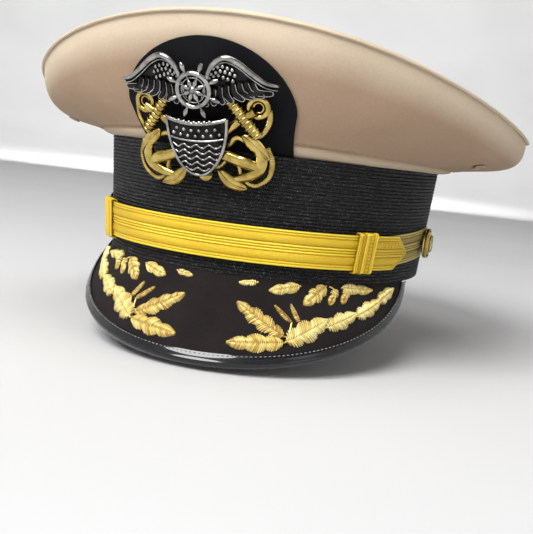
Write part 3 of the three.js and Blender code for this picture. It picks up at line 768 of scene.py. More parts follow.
def rim_cord(name, out, up, radius, slot, finish, node, wobble=0.0):
    """A round cord or wire along the rim."""
    angle = np.arange(12) * TURN / 12
    radii = RIM[:, None] + out + radius * np.cos(angle)
    heights = RIM_HEIGHT[:, None] + up + radius * np.sin(angle)
    points = ring(radii, heights)
    points[..., 2] += wobble * np.sin(47 * RING)[:, None]
    u = line_length(np.concatenate([points[:, 0], points[:1, 0]]))
    v = np.arange(13) * TURN * radius / 12
    build(name, Shape().add(**grid(points, True, True, u, v)), "cover", slot, [finish], node)


def cover_hem():
    """The strip of the cover that tucks in behind the band."""
    low, high = BAND_HEIGHT - HEM_DEPTH + 0.3, COVER_FOOT - 0.3
    rise = np.linspace(0, 1, 10)
    bulge = 0.12 * np.sin(np.pi * rise)
    radius = np.concatenate([HEM_OUT[:, None] + bulge, (HEM_OUT[:, None] - 0.8 + 0 * rise)], 1)
    height = np.concatenate([mix(low, high, rise), mix(high, low, rise)])
    shape = Shape().add(**closed_ring(radius, np.broadcast_to(height, radius.shape)))
    build("cover_hem_cloth", shape, "cover", "khaki_twill", [KHAKI], "cover_hem")


def cover_lining():
    """The thin panel under the cover's top."""
    share = np.concatenate([np.linspace(0.06, 0.97, 30), [1.0]])
    shape = Shape().add(**flat_cloth(ring(*dome_points(share, -0.4)), 0.5))
    piece = build("lining_panel", shape, "cover", "lining_cloth", [LINING], "cover_lining")


def lathe(outline, sides=48):
    """A turned shape about the z axis from its closed outline of (radius, height)."""
    outline = np.array(outline, float)
    angle = np.arange(sides) * TURN / sides
    points = np.stack([
        outline[None, :, 0] * np.cos(angle)[:, None],
        outline[None, :, 0] * np.sin(angle)[:, None],
        np.broadcast_to(outline[:, 1], (sides, len(outline)))], -1)
    return grid(points, True, True)


def studs(outline, sides, places, stretch=(1, 1, 1)):
    """Small turned shapes standing in the badge's plane at some places."""
    made = lathe(outline, sides)
    return [dict(made, points=made["points"] * np.array(stretch) + np.array(at)) for at in places]


def stood(shape, at, away):
    """Stands a shape that was made about the z axis on a point, with its axis along away."""
    away = unit(np.asarray(away, float))
    side = unit(np.cross((0, 0, 1.0), away))
    up = np.cross(away, side)
    return shape.moved(lambda x, y, z: at + x[:, None] * side + y[:, None] * up + z[:, None] * away)


def eyelet(sign):
    """A vent eyelet: a rolled metal flange through the wall."""
    turn = np.array(sign * EYELET_TURN)
    at, away = on_wall(turn, EYELET_SHARE, 0.0), on_wall(turn, EYELET_SHARE, 1.0)
    outline = [(1.2, -1.6), (1.9, -1.6), (1.9, 0.3), (2.6, 0.42), (3.1, 0.35), (3.25, 0.6), (3.1, 0.95),
               (2.6, 1.15), (1.9, 1.15), (1.4, 0.8)]
    shape = stood(Shape().add(**lathe(outline)), at, away - at)
    name = side_name(sign)
    build(f"eyelet_ring_{name}", shape, "cover", "steel", [EYELET], f"eyelet_{name}")


# ---- the visor -----------------------------------------------------------------------------------

def eased(stations, ease):
    """Stations from -1 to 1, drawn closer together towards both ends."""
    even = np.linspace(-1, 1, stations)
    return mix(even, np.sin(even * math.pi / 2), ease)


VISOR_TURNS = eased(241, 0.25)
VISOR_CLOTH = 0.9
VISOR_BOARD = 2.0


def visor_layer(top, thickness, short):
    """One layer of the visor, from just inside the band to a little short of the edge."""
    turn = (VISOR_TURNS * 73.4 * DEGREE)[:, None]
    share = np.linspace(0, 1, 26)[None, :]
    tucked = visor_start(top) - 1.3
    along = mix(tucked, np.maximum(visor_reach(turn) - short, tucked + 1.7), share)
    outer = on_visor(turn, along, top + 0 * along)
    return Shape().add(**shell(outer[::-1], thickness, round_rows=False))


def visor_pieces():
    """The cloth on top of the visor and the glossy board under it."""
    shape = visor_layer(0.0, VISOR_CLOTH, 1.6)
    piece = build("visor_cover_cloth", shape, "frame", "visor_felt", [VISOR_FELT], "visor_cloth")
    shape = visor_layer(VISOR_CLOTH + 0.3, VISOR_BOARD, 1.3)
    build("visor_board_gloss", shape, "frame", "patent", [PATENT], "visor_board")


def visor_binding():
    """Patent strip folded round the visor's edge: a rounded bead outside, stitched inside."""
    turn = (VISOR_TURNS * 75.0 * DEGREE)[:, None]
    top, low, middle = -0.9, 4.1, 1.6
    angle = np.linspace(-90, 90, 15) * DEGREE
    bead = 2.5
    under = np.concatenate([np.linspace(top, top, 6) - 0.25 * np.sin(np.linspace(0.3, math.pi, 6)),
                            middle + bead * np.sin(angle), [low, low - 0.6],
                            middle + (bead - 0.7) * np.sin(angle[::-1]), [top + 0.6]])
    along = np.concatenate([np.linspace(-BINDING_WIDTH, -2.6, 6), -2.0 + bead * 0.8 * np.cos(angle),
                            [-BINDING_WIDTH, -BINDING_WIDTH],
                            -2.0 + (bead - 0.7) * 0.8 * np.cos(angle[::-1]), [-BINDING_WIDTH]])
    reach = visor_reach(turn)
    along_here = np.maximum(reach + along[None, :], visor_start(0.0) + 0.15 * (along[None, :] + 7))
    points = on_visor(turn, along_here, np.broadcast_to(under, along_here.shape))
    u = line_length(points[:, 10])
    v = np.arange(points.shape[1] + 1) * 0.6
    shape = Shape().add(**grid(points, False, True, u, v, ends=True))

    def point(share, lift):
        turn = mix(-66, 66, share) * DEGREE
        return on_visor(turn, visor_reach(turn) - BINDING_WIDTH + 0.9, -1.12 - lift)

    shape.add(**stitches(stitch_row(point, 118, 0.6, 5, 0.12), 0.24), finish=1)
    build("visor_binding_strip", shape, "frame", "patent", [PATENT, GREY_THREAD], "visor_binding")


# ---- embroidery ----------------------------------------------------------------------------------

SPRAY_CENTRE = 1.7 * DEGREE  # the sprays are mirrored about a line a little to the wearer's left
SEWN_IN = 0.45  # how far the embroidery sinks into the cloth

# Leaves of one spray: where they start and end (degrees from the centre, mm down the visor's slope),
# half width, number of lobes, brightness.
LEAVES = (
    ((21.2, 28.0), (7.8, 12.8), 4.4, 4, 0.45),
    ((21.2, 31.0), (6.6, 33.4), 4.6, 3, 0.50),
    ((21.6, 30.6), (34.0, 18.4), 5.6, 3, 0.75),
    ((33.2, 22.4), (44.0, 15.2), 4.3, 3, 0.75),
    ((43.6, 16.8), (55.0, 9.0), 4.0, 3, 0.70),
    ((53.6, 9.6), (63.4, 3.2), 3.4, 2, 0.70),
    ((23.4, 20.8), (18.6, 12.8), 1.2, 1, 0.35),
    ((25.6, 20.6), (23.3, 11.6), 1.2, 1, 0.45),
    ((34.9, 1.6), (27.2, 11.4), 3.8, 3, 0.50),
    ((26.4, 2.2), (16.8, 5.6), 3.0, 2, 0.70),
    ((13.2, 2.0), (7.6, 3.2), 1.6, 2, 0.75),
    ((40.6, 2.0), (52.6, 3.4), 3.0, 2, 0.65),
)
ACORNS = (((38.4, 3.6), (35.3, 10.9)), ((42.6, 3.6), (39.7, 10.1)))
STEMS = (
    ((21.4, 30.8), (24.4, 27.0), (30.0, 22.8)),
    ((22.4, 28.4), (23.0, 24.0), (23.4, 20.6)),
    ((22.8, 27.6), (24.6, 24.4), (25.6, 20.4)),
    ((32.8, 20.6), (38.0, 18.6), (44.4, 16.2)),
    ((43.0, 16.2), (49.0, 13.6), (54.6, 9.2)),
    ((36.4, 1.4), (38.0, 2.4), (38.4, 3.8)),
    ((41.0, 1.4), (42.2, 2.4), (42.6, 3.8)),
)


def spray_mm(degrees, along):
    """Millimetres per degree round the visor at a place on it."""
    near = 0.5 * DEGREE
    turn = degrees * DEGREE
    a = on_visor(np.array(turn - near), np.array(along), np.array(0.0))
    b = on_visor(np.array(turn + near), np.array(along), np.array(0.0))
    return float(np.linalg.norm(b - a))


def sewn(base, tip, sign):
    """From a leaf's own plane (towards the tip, across, up) to the visor, and the leaf's length."""
    middle = [(a + b) / 2 for a, b in zip(base, tip)]
    scale = spray_mm(*middle)
    run = np.array([(tip[0] - base[0]) * scale, tip[1] - base[1]])
    length = float(np.linalg.norm(run))
    run = run / length

    def place(x, y, z):
        around = base[0] + (run[0] * x - run[1] * y) / scale
        along = base[1] + run[1] * x + run[0] * y
        return on_visor(sign * around * DEGREE + SPRAY_CENTRE, along, SEWN_IN - z)

    return place, length


def leaf_width(share, half, lobes):
    """Half width of an oak leaf along its length: rounded lobes on a long oval."""
    body = np.sin(np.pi * np.clip(share, 0, 1) ** 0.85) ** 0.6
    wave = 0.62 + 0.44 * np.abs(np.sin(math.pi * lobes * share)) ** 0.7 if lobes > 1 else 1.0
    return half * body * wave


def padding(length, width_at, high):
    """The raised ground of a leaf under its threads."""
    share = np.linspace(0.01, 0.99, 40)
    across = np.linspace(-1, 1, 11)
    width = width_at(share)[:, None] * 0.96
    top = np.stack(np.broadcast_arrays(
        share[:, None] * length, across * width, 0.12 + high * (1 - across ** 2) + 0 * width), -1)
    bottom = top * np.array([1, 1, 0]) - np.array([0, 0, 0.15])
    return grid(np.concatenate([top, bottom[:, ::-1]], 1), False, True, ends=True)


def satin(length, width_at, high, lean, radius, bright):
    """Rows of threads from a leaf's middle line out to its edge, on both sides."""
    pitch = radius * 2.15
    count = max(4, int(length / pitch))
    start = np.linspace(0.0, 0.97, count)
    paths, tones = [], []
    for side in (1, -1):
        end = np.clip(start + lean * width_at(start) / length, 0, 1)
        reach = width_at(end) * (1 + rng.uniform(-0.02, 0.06, count))
        for a, b, w in zip(start, end, reach):
            q = np.linspace(0, 1, 6)
            x = mix(a, b, q) * length
            y = side * mix(0.1, w, q)
            z = 0.1 + high * (1 - q ** 2) + 0.45 * np.sin(np.pi * q ** 0.8)
            paths.append(np.stack([x, y, z], -1))
            tones.append(bright + rng.uniform(-0.22, 0.28))
    taper = np.array([0.6, 0.95, 1.0, 1.0, 1.0, 0.8])
    made = tubes(np.array(paths), radius * taper, sides=6, rise=0.8)
    made["shade"] = np.repeat(tones, 6 * 6)
    return made


def embroidery(sign):
    """One spray of oak leaves and acorns, every leaf padded and covered with gold thread."""
    shape = Shape()

    def sew(base, tip, *parts):
        place, length = sewn(base, tip, sign)
        for part in parts:
            made = part(length)
            made["points"] = place(*np.asarray(made["points"], float).reshape(-1, 3).T)
            shape.add(**made)

    # Each leaf's padding is given brightness 0.12: painted shade where it shows in the gaps between the
    # threads.
    for base, tip, half, lobes, bright in LEAVES:
        width_at = lambda s, h=half, n=lobes: leaf_width(s, h, n)
        high = 0.45 + 0.20 * half
        sew(base, tip,
            lambda n: dict(padding(n, width_at, high), shade=0.12),
            lambda n: satin(n, width_at, high, 0.5, 0.40, bright))
    # The acorns' padding is painted dark as shade the same way.
    for base, tip in ACORNS:
        nut = lambda s: 1.9 * np.sin(np.pi * np.clip(s, 0, 1) ** 1.5) ** 0.6
        cup = lambda s: 2.3 * np.sqrt(np.clip(1 - ((s - 0.22) / 0.24) ** 2, 0, 1)) * (s < 0.46)
        sew(base, tip,
            lambda n: dict(padding(n, nut, 0.9), shade=0.12),
            lambda n: satin(n, nut, 0.9, 0.2, 0.32, 0.45),
            lambda n: satin(n * 0.46, lambda s: cup(s * 0.46), 1.3, -0.3, 0.34, 0.7))
    for stem in STEMS:
        s = np.linspace(0, 1, 9)[:, None]
        a, b, c = [np.array(p) for p in stem]
        line = (1 - s) ** 2 * a + 2 * s * (1 - s) * b + s ** 2 * c
        points = on_visor(sign * line[:, 0] * DEGREE + SPRAY_CENTRE, line[:, 1], np.full(9, 0.05))
        shape.add(**tubes(points, 0.42, sides=6), shade=0.6)
    name = side_name(sign)
    build(f"leaf_spray_{name}", shape, "frame", "bullion", [BULLION], f"embroidery_{name}")


# ---- the chin strap ------------------------------------------------------------------------------

def rounded(value, centre, radius):
    """Height of a round cord lying at centre."""
    return np.sqrt(np.clip(radius ** 2 - (value - centre) ** 2, 0, None))


def corded(position, cords):
    """Height and brightness of a row of cords, each (middle, half width, height, brightness)."""
    height, shade = np.zeros(position.shape), np.zeros(position.shape)
    for middle, half, high, bright in cords:
        arch = rounded(position, middle, half) / half
        height = np.maximum(height, high * arch)
        # Painted shade and highlight: brightness is full on each cord's crest and falls to nothing at its
        # edges, in the grooves.
        shade = np.maximum(shade, bright * arch ** 0.7)
    return height, shade


def lace_relief(across, half):
    """The strap's outer face: two cords along each edge, two wide rounded fillets, a corded middle."""
    from_edge = half - np.abs(across)
    height, shade = corded(across, [(-4.2, 2.15, 0.75, 0.62), (4.2, 2.15, 0.75, 0.62), (0.0, 0.62, 0.5, 0.75),
                                    (-1.36, 0.62, 0.55, 0.95), (1.36, 0.62, 0.55, 0.95)])
    edge_height, edge_shade = corded(from_edge, [(0.62, 0.6, 0.55, 1.0), (1.86, 0.58, 0.5, 0.85)])
    in_edge = from_edge < 2.45
    return np.where(in_edge, edge_height, height), np.where(in_edge, edge_shade, shade)


def ribbon(turns, half, inner, outer, lift, middle):
    """A strap along the strap's line, with a relief on its outer face; middle is its height there."""
    share = eased(129, 0.15)
    across = share[None, :] * half[:, None]
    height, shade = lace_relief(across, half[:, None])
    middle = np.broadcast_to(middle, turns.shape)[:, None]
    face = on_strap(turns[:, None], outer + lift * height, middle + across)
    back = on_strap(turns[:, None], inner, middle + half[:, None] * np.array([1.0, -1.0]))
    points = np.concatenate([face, back], 1)
    u = line_length(points[:, 64])
    v = np.concatenate([share * STRAP_HALF, [10, 28, 30]])
    shade = np.concatenate([shade, np.zeros((len(turns), 2))], 1).ravel()
    return dict(grid(points, False, True, u, v, ends=True), shade=shade)


def chin_strap_front():
    """The long gold strap, with a pointed end behind each keeper that carries a few plain bars."""
    radius = SIDE_ARC[0] + 2.3
    tab_end = STRAP_TURN + TAB_LENGTH / radius
    taper = tab_end - TAB_POINT / radius
    turns = np.concatenate([np.linspace(-tab_end, -taper, 40), np.linspace(-taper, taper, 320)[1:-1],
                            np.linspace(taper, tab_end, 40)])
    narrow = np.clip((np.abs(turns) - taper) / (tab_end - taper), 0, 1)
    half = STRAP_HALF * mix(1, 0.1, narrow)
    shape = Shape().add(**ribbon(turns, half, 0.9, 1.7, 1.0, STRAP_MIDDLE))
    for sign in (1, -1):
        for k in range(5):
            turn = np.full(7, sign * (STRAP_TURN + (2.4 + 1.25 * k) * DEGREE))
            bar = on_strap(turn, 2.35, STRAP_MIDDLE + 4.3 + np.linspace(-1.2, 1.2, 7))
            shape.add(**tubes(bar, 0.36, sides=6, up=(0.1, 0.2, 1)), shade=0.2)
    build("chin_strap_lace", shape, "frame", "gold_lace", [LACE], "chin_strap_front")


def chin_strap_side(sign):
    """The strap from under the tab up to the side button, in the lace's darker copy: painted shade."""
    face = np.linspace(61.6, 88.6, 80) * DEGREE
    rise = SIDE_RISE * (face - STRAP_TURN) / (BUTTON_TURN - STRAP_TURN)
    half = np.full(80, STRAP_HALF * 0.92)
    shape = Shape().add(**ribbon(sign * face, half, 0.0, 0.25, 0.5, STRAP_MIDDLE + rise))
    name = side_name(sign)
    build(f"side_strap_{name}", shape, "frame", "gold_lace", [LACE_SIDE], f"chin_strap_{name}")


# The keeper's upright cords: middle, half width, height, brightness.
SLANTED_CORD = (-3.05, 1.2, 0.35, 0.34)
BEADED_CORD = (2.3, 1.35, 0.55, 0.62)
KEEPER_CORDS = ((-5.75, 0.5, 0.45, 0.85), (-4.75, 0.45, 0.45, 0.8), SLANTED_CORD, (-1.35, 0.46, 0.6, 1.0),
                (-0.45, 0.4, 0.55, 0.95), (0.42, 0.42, 0.4, 0.6), BEADED_CORD, (4.15, 0.45, 0.45, 0.9),
                (5.35, 0.7, 0.65, 1.0))


def keeper_loop(half, low, high, corner):
    """The keeper's outline across the strap: height, distance out, and the two parts of its normal."""
    loop = []
    middle = half - corner
    for centre_v, centre_o, start in ((middle, high - corner, 90), (middle, low + corner, 0),
                                      (-middle, low + corner, -90), (-middle, high - corner, -180)):
        for angle in np.linspace(start, start - 90, 5) * DEGREE:
            cosine, sine = math.cos(angle), math.sin(angle)
            loop.append((centre_v + corner * cosine, centre_o + corner * sine, cosine, sine))
    loop += [(v, high, 0.0, 1.0) for v in np.linspace(-middle, middle, 64)[1:-1]]
    return np.array(loop)


def keeper(sign):
    """A flat loop round the strap, woven of upright cords with one wide beaded cord."""
    width = 12.4
    mean_radius = FRONT_ARC[0] + 2.3
    across = np.linspace(-width / 2, width / 2, 129)
    relief, tone = corded(across, KEEPER_CORDS)
    loop = keeper_loop(STRAP_HALF + 1.0, 0.2, 3.5, 0.9)
    shown = (loop[:, 1] > 1.0)[:, None]
    beads = np.abs(np.sin(np.pi * loop[:, :1] / 1.75)) ** 0.6
    beaded = np.abs(across - BEADED_CORD[0]) < BEADED_CORD[1]
    slanting = np.abs(across - SLANTED_CORD[0]) < SLANTED_CORD[1]
    slanted = 0.10 * np.sin(TURN * (loop[:, :1] / 2.0 + across / 1.6)) * slanting
    lifted = relief * np.where(shown, 1.0, 0.3) * np.where(beaded, mix(0.45, 1.0, beads), 1.0)
    lifted = lifted + slanted * shown
    # Painted shade: darker in the gaps between the beads and in the slanted cord's hollows, brighter on its
    # ridges.
    shade = tone * np.where(beaded, mix(0.2, 1.0, beads), 1.0) + slanted
    outer_v = loop[:, :1] + loop[:, 2:3] * lifted
    outer_o = loop[:, 1:2] + loop[:, 3:4] * lifted
    inner_v = loop[:, :1] - loop[:, 2:3] * 0.5 + 0 * lifted
    inner_o = np.clip(loop[:, 1:2] - loop[:, 3:4] * 0.45, 0.55, 3.0) + 0 * lifted
    v = np.concatenate([outer_v, inner_v[:, ::-1]], 1)
    out = np.concatenate([outer_o, inner_o[:, ::-1]], 1)
    turn_at = sign * (KEEPER_TURN + np.concatenate([across, across[::-1]]) / mean_radius)
    points = on_strap(turn_at[None, :], out, STRAP_MIDDLE + v)
    u = line_length(np.concatenate([points[:, 64], points[:1, 64]]))
    made = grid(points, True, True, u, np.arange(points.shape[1] + 1) * 0.1)
    shape = Shape().add(**made, shade=np.concatenate([shade, 0 * shade], 1).ravel())
    name = side_name(sign)
    build(f"keeper_loop_{name}", shape, f"keeper_{name}", "gold_lace", [LACE], f"keeper_{name}")


def side_button(sign):
    """A domed gilt button with a roped rim and a plain ring, on its post."""
    at = on_strap(sign * BUTTON_TURN, 0.0, STRAP_MIDDLE + SIDE_RISE)
    away = np.array([sign * math.sin(BUTTON_TURN), -math.cos(BUTTON_TURN), 0])
    seat = 1.725
    arc = np.linspace(0, 1, 14)
    dome = [(BUTTON_RADIUS * 0.8 * math.cos(a), seat + 1.7 + 2.5 * math.sin(a)) for a in arc * math.pi / 2]
    dome[-1] = (0.0, seat + 4.2)
    post = [(0.0, -5.88), (1.2, -5.88), (1.2, seat)]
    edge = [(0.9, 0.0), (1.0, 0.6), (0.98, 1.3), (0.86, 1.7)]
    outline = post + [(BUTTON_RADIUS * out, seat + up) for out, up in edge] + dome
    shape = Shape().add(**lathe(outline, 64))
    angle = np.linspace(0, TURN, 241)
    for strand in range(3):
        twist = angle * 14 + strand * TURN / 3
        radius = BUTTON_RADIUS * 0.9 + 0.32 * np.cos(twist)
        rise = seat + 1.95 + 0.32 * np.sin(twist)
        rope = np.stack([radius * np.cos(angle), radius * np.sin(angle), rise], -1)
        shape.add(**tubes(rope, 0.34, sides=6))
    inner = circle(0, 0, BUTTON_RADIUS * 0.55, seat + 3.75, stations=241)
    shape.add(**tubes(inner, 0.22, sides=6))
    name = side_name(sign)
    node = f"side_button_{name}"
    build(f"dome_button_{name}", stood(shape, at, away), node, "gilt", [GILT], node)


# ---- the badge -----------------------------------------------------------------------------------

GOLD_BACK, GOLD_TOP = 1.0, 3.5
SILVER_BACK, SILVER_TOP = 4.4, 7.0


def mount_half(height):
    """Half width of the felt tongue: an arch above its widest line, and drawn in below it."""
    arch = MOUNT_TOP - MOUNT_MIDDLE
    if height >= MOUNT_MIDDLE:
        return MOUNT_WIDTH / 2 * math.sqrt(1 - ((height - MOUNT_MIDDLE) / arch) ** 2)
    rise = math.asin((MOUNT_MIDDLE - BAND_HEIGHT) / arch)
    low = (MOUNT_MIDDLE - height) / (MOUNT_MIDDLE - BAND_HEIGHT)
    return mix(MOUNT_WIDTH, MOUNT_FOOT, math.sin(low * rise)) / 2


def badge_mount():
    """Felt tongue against the cover's front, tucked behind the band's upper edge."""
    stations, cloth = 61, 1.1
    line = np.linspace(0, 1, 400)
    front_height = wall_points(line)[1][1]
    across = eased(stations, 1.0)
    rows = []
    for share in np.linspace(0, 1, 10)[:-1]:
        height = mix(TUCK_FLOOR + 0.6, BAND_HEIGHT - 1.5, share)
        sunk = max(0, BAND_HEIGHT - HEM_DEPTH - height) * 0.12
        turn = BADGE_TURN + np.arcsin(across * MOUNT_FOOT / 2 / TUCK[0])
        radius = np.repeat((HEM_OUT + 0.3 - sunk + cloth)[:, None], stations, 1)
        rows.append(oval(radius, np.full((3, stations), height), turn))
    for share in np.sin(np.linspace(0, 1, 48) * 90 * DEGREE):
        height = mix(BAND_HEIGHT + 0.9, MOUNT_TOP - 0.05, share)
        at = float(np.interp(height, front_height, line))
        side_radius = float(wall_points(np.array(at))[0][0])
        turn = BADGE_TURN + np.arcsin(across * mount_half(height) / side_radius)
        rows.append(on_wall(turn, np.full(stations, at), np.full(stations, cloth + 0.5)))
    outer = np.array(rows)
    shape = Shape().add(**shell(outer[:, ::-1], cloth, round_rows=False))
    build("badge_mount_felt", shape, "frame", "black_felt", [MOUNT_FELT], "badge_mount")


def flat_line(points, z, stations=24):
    """A smooth line through a few (x, y) points of the badge's plane, at a height out of it."""
    points = np.array(points, float)
    at = np.linspace(0, len(points) - 1, stations)
    k = np.clip(at.astype(int), 0, len(points) - 2)
    t = (at - k)[:, None]
    before, after = points[np.maximum(k - 1, 0)], points[np.minimum(k + 2, len(points) - 1)]
    a, b = points[k], points[k + 1]
    line = 0.5 * ((2 * a) + (b - before) * t + (2 * before - 5 * a + 4 * b - after) * t ** 2
                  + (3 * a - before - 3 * b + after) * t ** 3)
    return np.column_stack([line, np.broadcast_to(z, stations)])


def circle(x, y, radius, z, start=0, stop=360, stations=49):
    angle = np.linspace(start, stop, stations) * DEGREE
    return np.column_stack([x + radius * np.cos(angle), y + radius * np.sin(angle), np.full(stations, z)])


def blade(line, half, thick):
    """A long flat form, such as a feather or a fluke, with a raised middle."""
    return tubes(line, half, sides=12, rise=thick)


# The badge's forms for one side, (across, up) in mm from its post.
STOCK_TURNS = 9
STOCK_ENDS = np.array([[-27.4, 19.4], [-15.0, 36.8]])
ANCHOR_EYE = ((-26.6, 31.2), (-24.0, 29.8), (-21.6, 28.6))
ANCHOR_SHANK = ((-25.0, 31.0), (-4, 17.0), (23.6, 6.0))
ANCHOR_ARMS = ((24.6, 15.2), (28.0, 11.0), (27.2, 4.6), (21.8, 0.6), (14.6, -1.2))
ANCHOR_CROWN = ((17.6, 9.0), (23.4, 6.4), (28.6, 3.6))
ANCHOR_FLUKES = (((20.4, 20.2), (25.4, 16.0), (31.6, 8.8)), ((8.2, 3.4), (13.6, -2.4), (21.0, -5.4)))
ANCHOR_ROPE = ((-32.2, 31.0), (-31.8, 25.4), (-28.6, 20.2), (-22.8, 17.0), (-17.0, 18.6), (-13.2, 15.0),
               (-7.0, 11.4), (0.0, 8.0), (7.6, 4.6), (12.4, 8.0), (17.4, 5.4), (19.0, -1.0), (24.6, -4.2),
               (30.6, -0.4), (32.4, 6.6), (30.6, 13.2))


def mirrored(points, sign):
    return [(sign * x, y) for x, y in points]


def anchor(shape, sign):
    """An anchor, from its ring high on one side to its flukes low on the other, and its rope."""
    middle = (GOLD_BACK + GOLD_TOP) / 2

    def line(points, lift, stations):
        return flat_line(mirrored(points, sign), middle + lift, stations)

    shape.add(**tubes(circle(-sign * 27.6, 32.6, 4.2, middle + 0.5), 1.25, sides=12))
    shape.add(**tubes(circle(-sign * 27.6, 32.6, 2.3, middle + 0.1), 0.55, sides=8))
    shape.add(**tubes(line(ANCHOR_EYE, 1.6, 12), 2.2 - 0.5 * np.linspace(0, 1, 12), sides=14))
    shape.add(**tubes(line(ANCHOR_SHANK, 0.3, 40), np.linspace(1.9, 3.1, 40), sides=14))
    start, run = STOCK_ENDS[0], STOCK_ENDS[1] - STOCK_ENDS[0]
    stock = line([start, start + run / 2, start + run], 1.4, 41)
    shape.add(**tubes(stock, 2.15 + 0.4 * np.sin(np.linspace(0, math.pi, 41)), sides=14))
    lie = unit(run)
    angle = np.linspace(-10, 190, 17) * DEGREE
    for share in (np.arange(STOCK_TURNS) + 0.5) / STOCK_TURNS:
        x, y = start + run * share
        girth = 2.25 + 0.4 * math.sin(share * math.pi)
        across, lift = girth * np.cos(angle), girth * np.sin(angle)
        loop = np.column_stack([sign * (x - lie[1] * across), y + lie[0] * across, middle + 1.4 + lift])
        shape.add(**tubes(loop, 0.5, sides=8, up=(sign * lie[0], lie[1], 0)))
    girth = 1.5 + 1.5 * np.sin(np.linspace(0, math.pi, 44))
    shape.add(**tubes(line(ANCHOR_ARMS, 0.5, 44), girth, sides=14, rise=0.9))
    girth = 0.2 + 2.6 * np.sin(np.linspace(0.2, 1.0, 12) * math.pi) ** 0.6
    shape.add(**tubes(line(ANCHOR_CROWN, 1.4, 12), girth, sides=14, rise=0.8))
    half = 0.12 + 2.9 * np.sin(np.linspace(0.02, 0.98, 25) * math.pi) ** 0.9
    for fluke in ANCHOR_FLUKES:
        shape.add(**blade(line(fluke, 1.5, 25), half, 0.42))
        shape.add(**tubes(line(fluke, 2.5, 25), 0.42 * half / 2.9 + 0.12, sides=8))
    rope = line(ANCHOR_ROPE, -0.2, 261)
    out = np.array([0, 0, 1.0])
    side = np.cross(unit(np.gradient(rope, axis=0)), out)
    for strand in range(3):
        wind = (np.linspace(0, 36 * TURN, 261) + strand * TURN / 3)[:, None]
        shape.add(**tubes(rope + 0.62 * (np.cos(wind) * side + np.sin(wind) * out), 0.7, sides=6))


def badge_anchors():
    """Two crossed anchors behind the shield."""
    shape = Shape()
    anchor(shape, 1)
    anchor(shape, -1)
    build("crossed_anchors", shape.moved(on_badge), "frame", "gilt", [GILT], "badge_anchors")


SHIELD_POINT, SHIELD_HEAD, SHIELD_HALF = 1.4, 28.5, 14.5


def shield_half(y):
    """Half width of the shield at a height in the badge's plane."""
    share = np.clip((y - SHIELD_POINT) / (SHIELD_HEAD - SHIELD_POINT), 0, 1)
    return SHIELD_HALF * np.sin(share ** 0.62 * math.pi / 2) ** 0.9


def shield_face(x, half):
    """How far out the shield's convex face stands."""
    return SILVER_TOP - 0.6 + 1.8 * (1 - (x / (SHIELD_HALF + 1)) ** 2) * np.clip(half / 9, 0, 1)


def badge_shield():
    """Convex shield with its face in dark silver, a painted dark reflection, with a bright border, a studded
    head and raised waves below it.
    """
    shape = Shape()
    share = np.linspace(0, 1, 60)
    y_rows = mix(SHIELD_POINT, SHIELD_HEAD, share)
    across = np.linspace(-1, 1, 41)
    half = np.maximum(shield_half(y_rows), 0.2)[:, None]
    x = across * half
    top_curve = -2.0 * (1 - across ** 2) * share[:, None] ** 6
    y = y_rows[:, None] + top_curve
    front = np.stack([x, y, shield_face(x, half)], -1)
    back = np.stack([x, y, np.full(x.shape, SILVER_BACK)], -1)
    # The shield's face takes the dark silver, painted dark reflection.
    shape.add(**grid(np.concatenate([front, back[:, ::-1]], 1), False, True, ends=True), finish=1)
    edge = np.concatenate([front[::-1, 0], front[1:, -1]])
    shape.add(**tubes(edge + np.array([0, 0, 0.35]), 0.75, sides=8))
    brow = front[-1] + np.array([0, -0.3, 0.45])
    shape.add(**tubes(brow, 1.0, sides=8))
    bar_y = 19.2 - 1.1 * (1 - across ** 2)
    bar_x = across * (shield_half(19.0) - 0.8)
    bar = np.stack([bar_x, bar_y, shield_face(bar_x, shield_half(bar_y)) + 0.25], -1)
    shape.add(**tubes(bar, 0.55, sides=8))
    ball = [(0, -0.6), (1.0, -0.4), (1.25, 0.3), (1.0, 1.0), (0.5, 1.3), (0, 1.4)]
    head = [(x, 28.6 - 2.0 * (1 - (x / 14) ** 2), SILVER_TOP + 1.3) for x in (np.arange(7) - 3) * 2.5]
    dome = [(0, -0.2), (0.85, -0.2), (0.95, 0.25), (0.6, 0.7), (0, 0.9)]
    rows = []
    for count, y in ((6, 24.2), (7, 21.6)):
        for x in (np.arange(count) - (count - 1) / 2) * 3.7:
            rows.append((x, y - 1.2 * (1 - (x / 13) ** 2), shield_face(x, shield_half(y))))
    for stud in studs(ball, 16, head) + studs(dome, 12, rows):
        shape.add(**stud)
    for middle in 16.4 - 2.75 * np.arange(5):
        reach = shield_half(middle) - 1.2
        x = np.linspace(-reach, reach, 49)
        y = middle - 0.7 + 0.75 * np.cos(x * TURN / 6.2)
        shape.add(**tubes(np.stack([x, y, shield_face(x, shield_half(y)) + 0.2], -1), 0.5, sides=8))
    finishes = [SILVER, SILVER_DARK]
    build("badge_shield_plate", shape.moved(on_badge), "frame", "silver", finishes, "badge_shield")


FEATHERS = 8
WING_EDGE = ((3.6, 37.5), (5.6, 43.5), (8.6, 51.5), (14.6, 55.6), (20.6, 53.6), (27.0, 48.4), (32.6, 44.4),
             (37.8, 43.0))
WING_FOOT = ((4.2, 34.2), (9.5, 35.0), (17.0, 36.4), (25.5, 38.2), (33.5, 39.6), (37.4, 42.2))


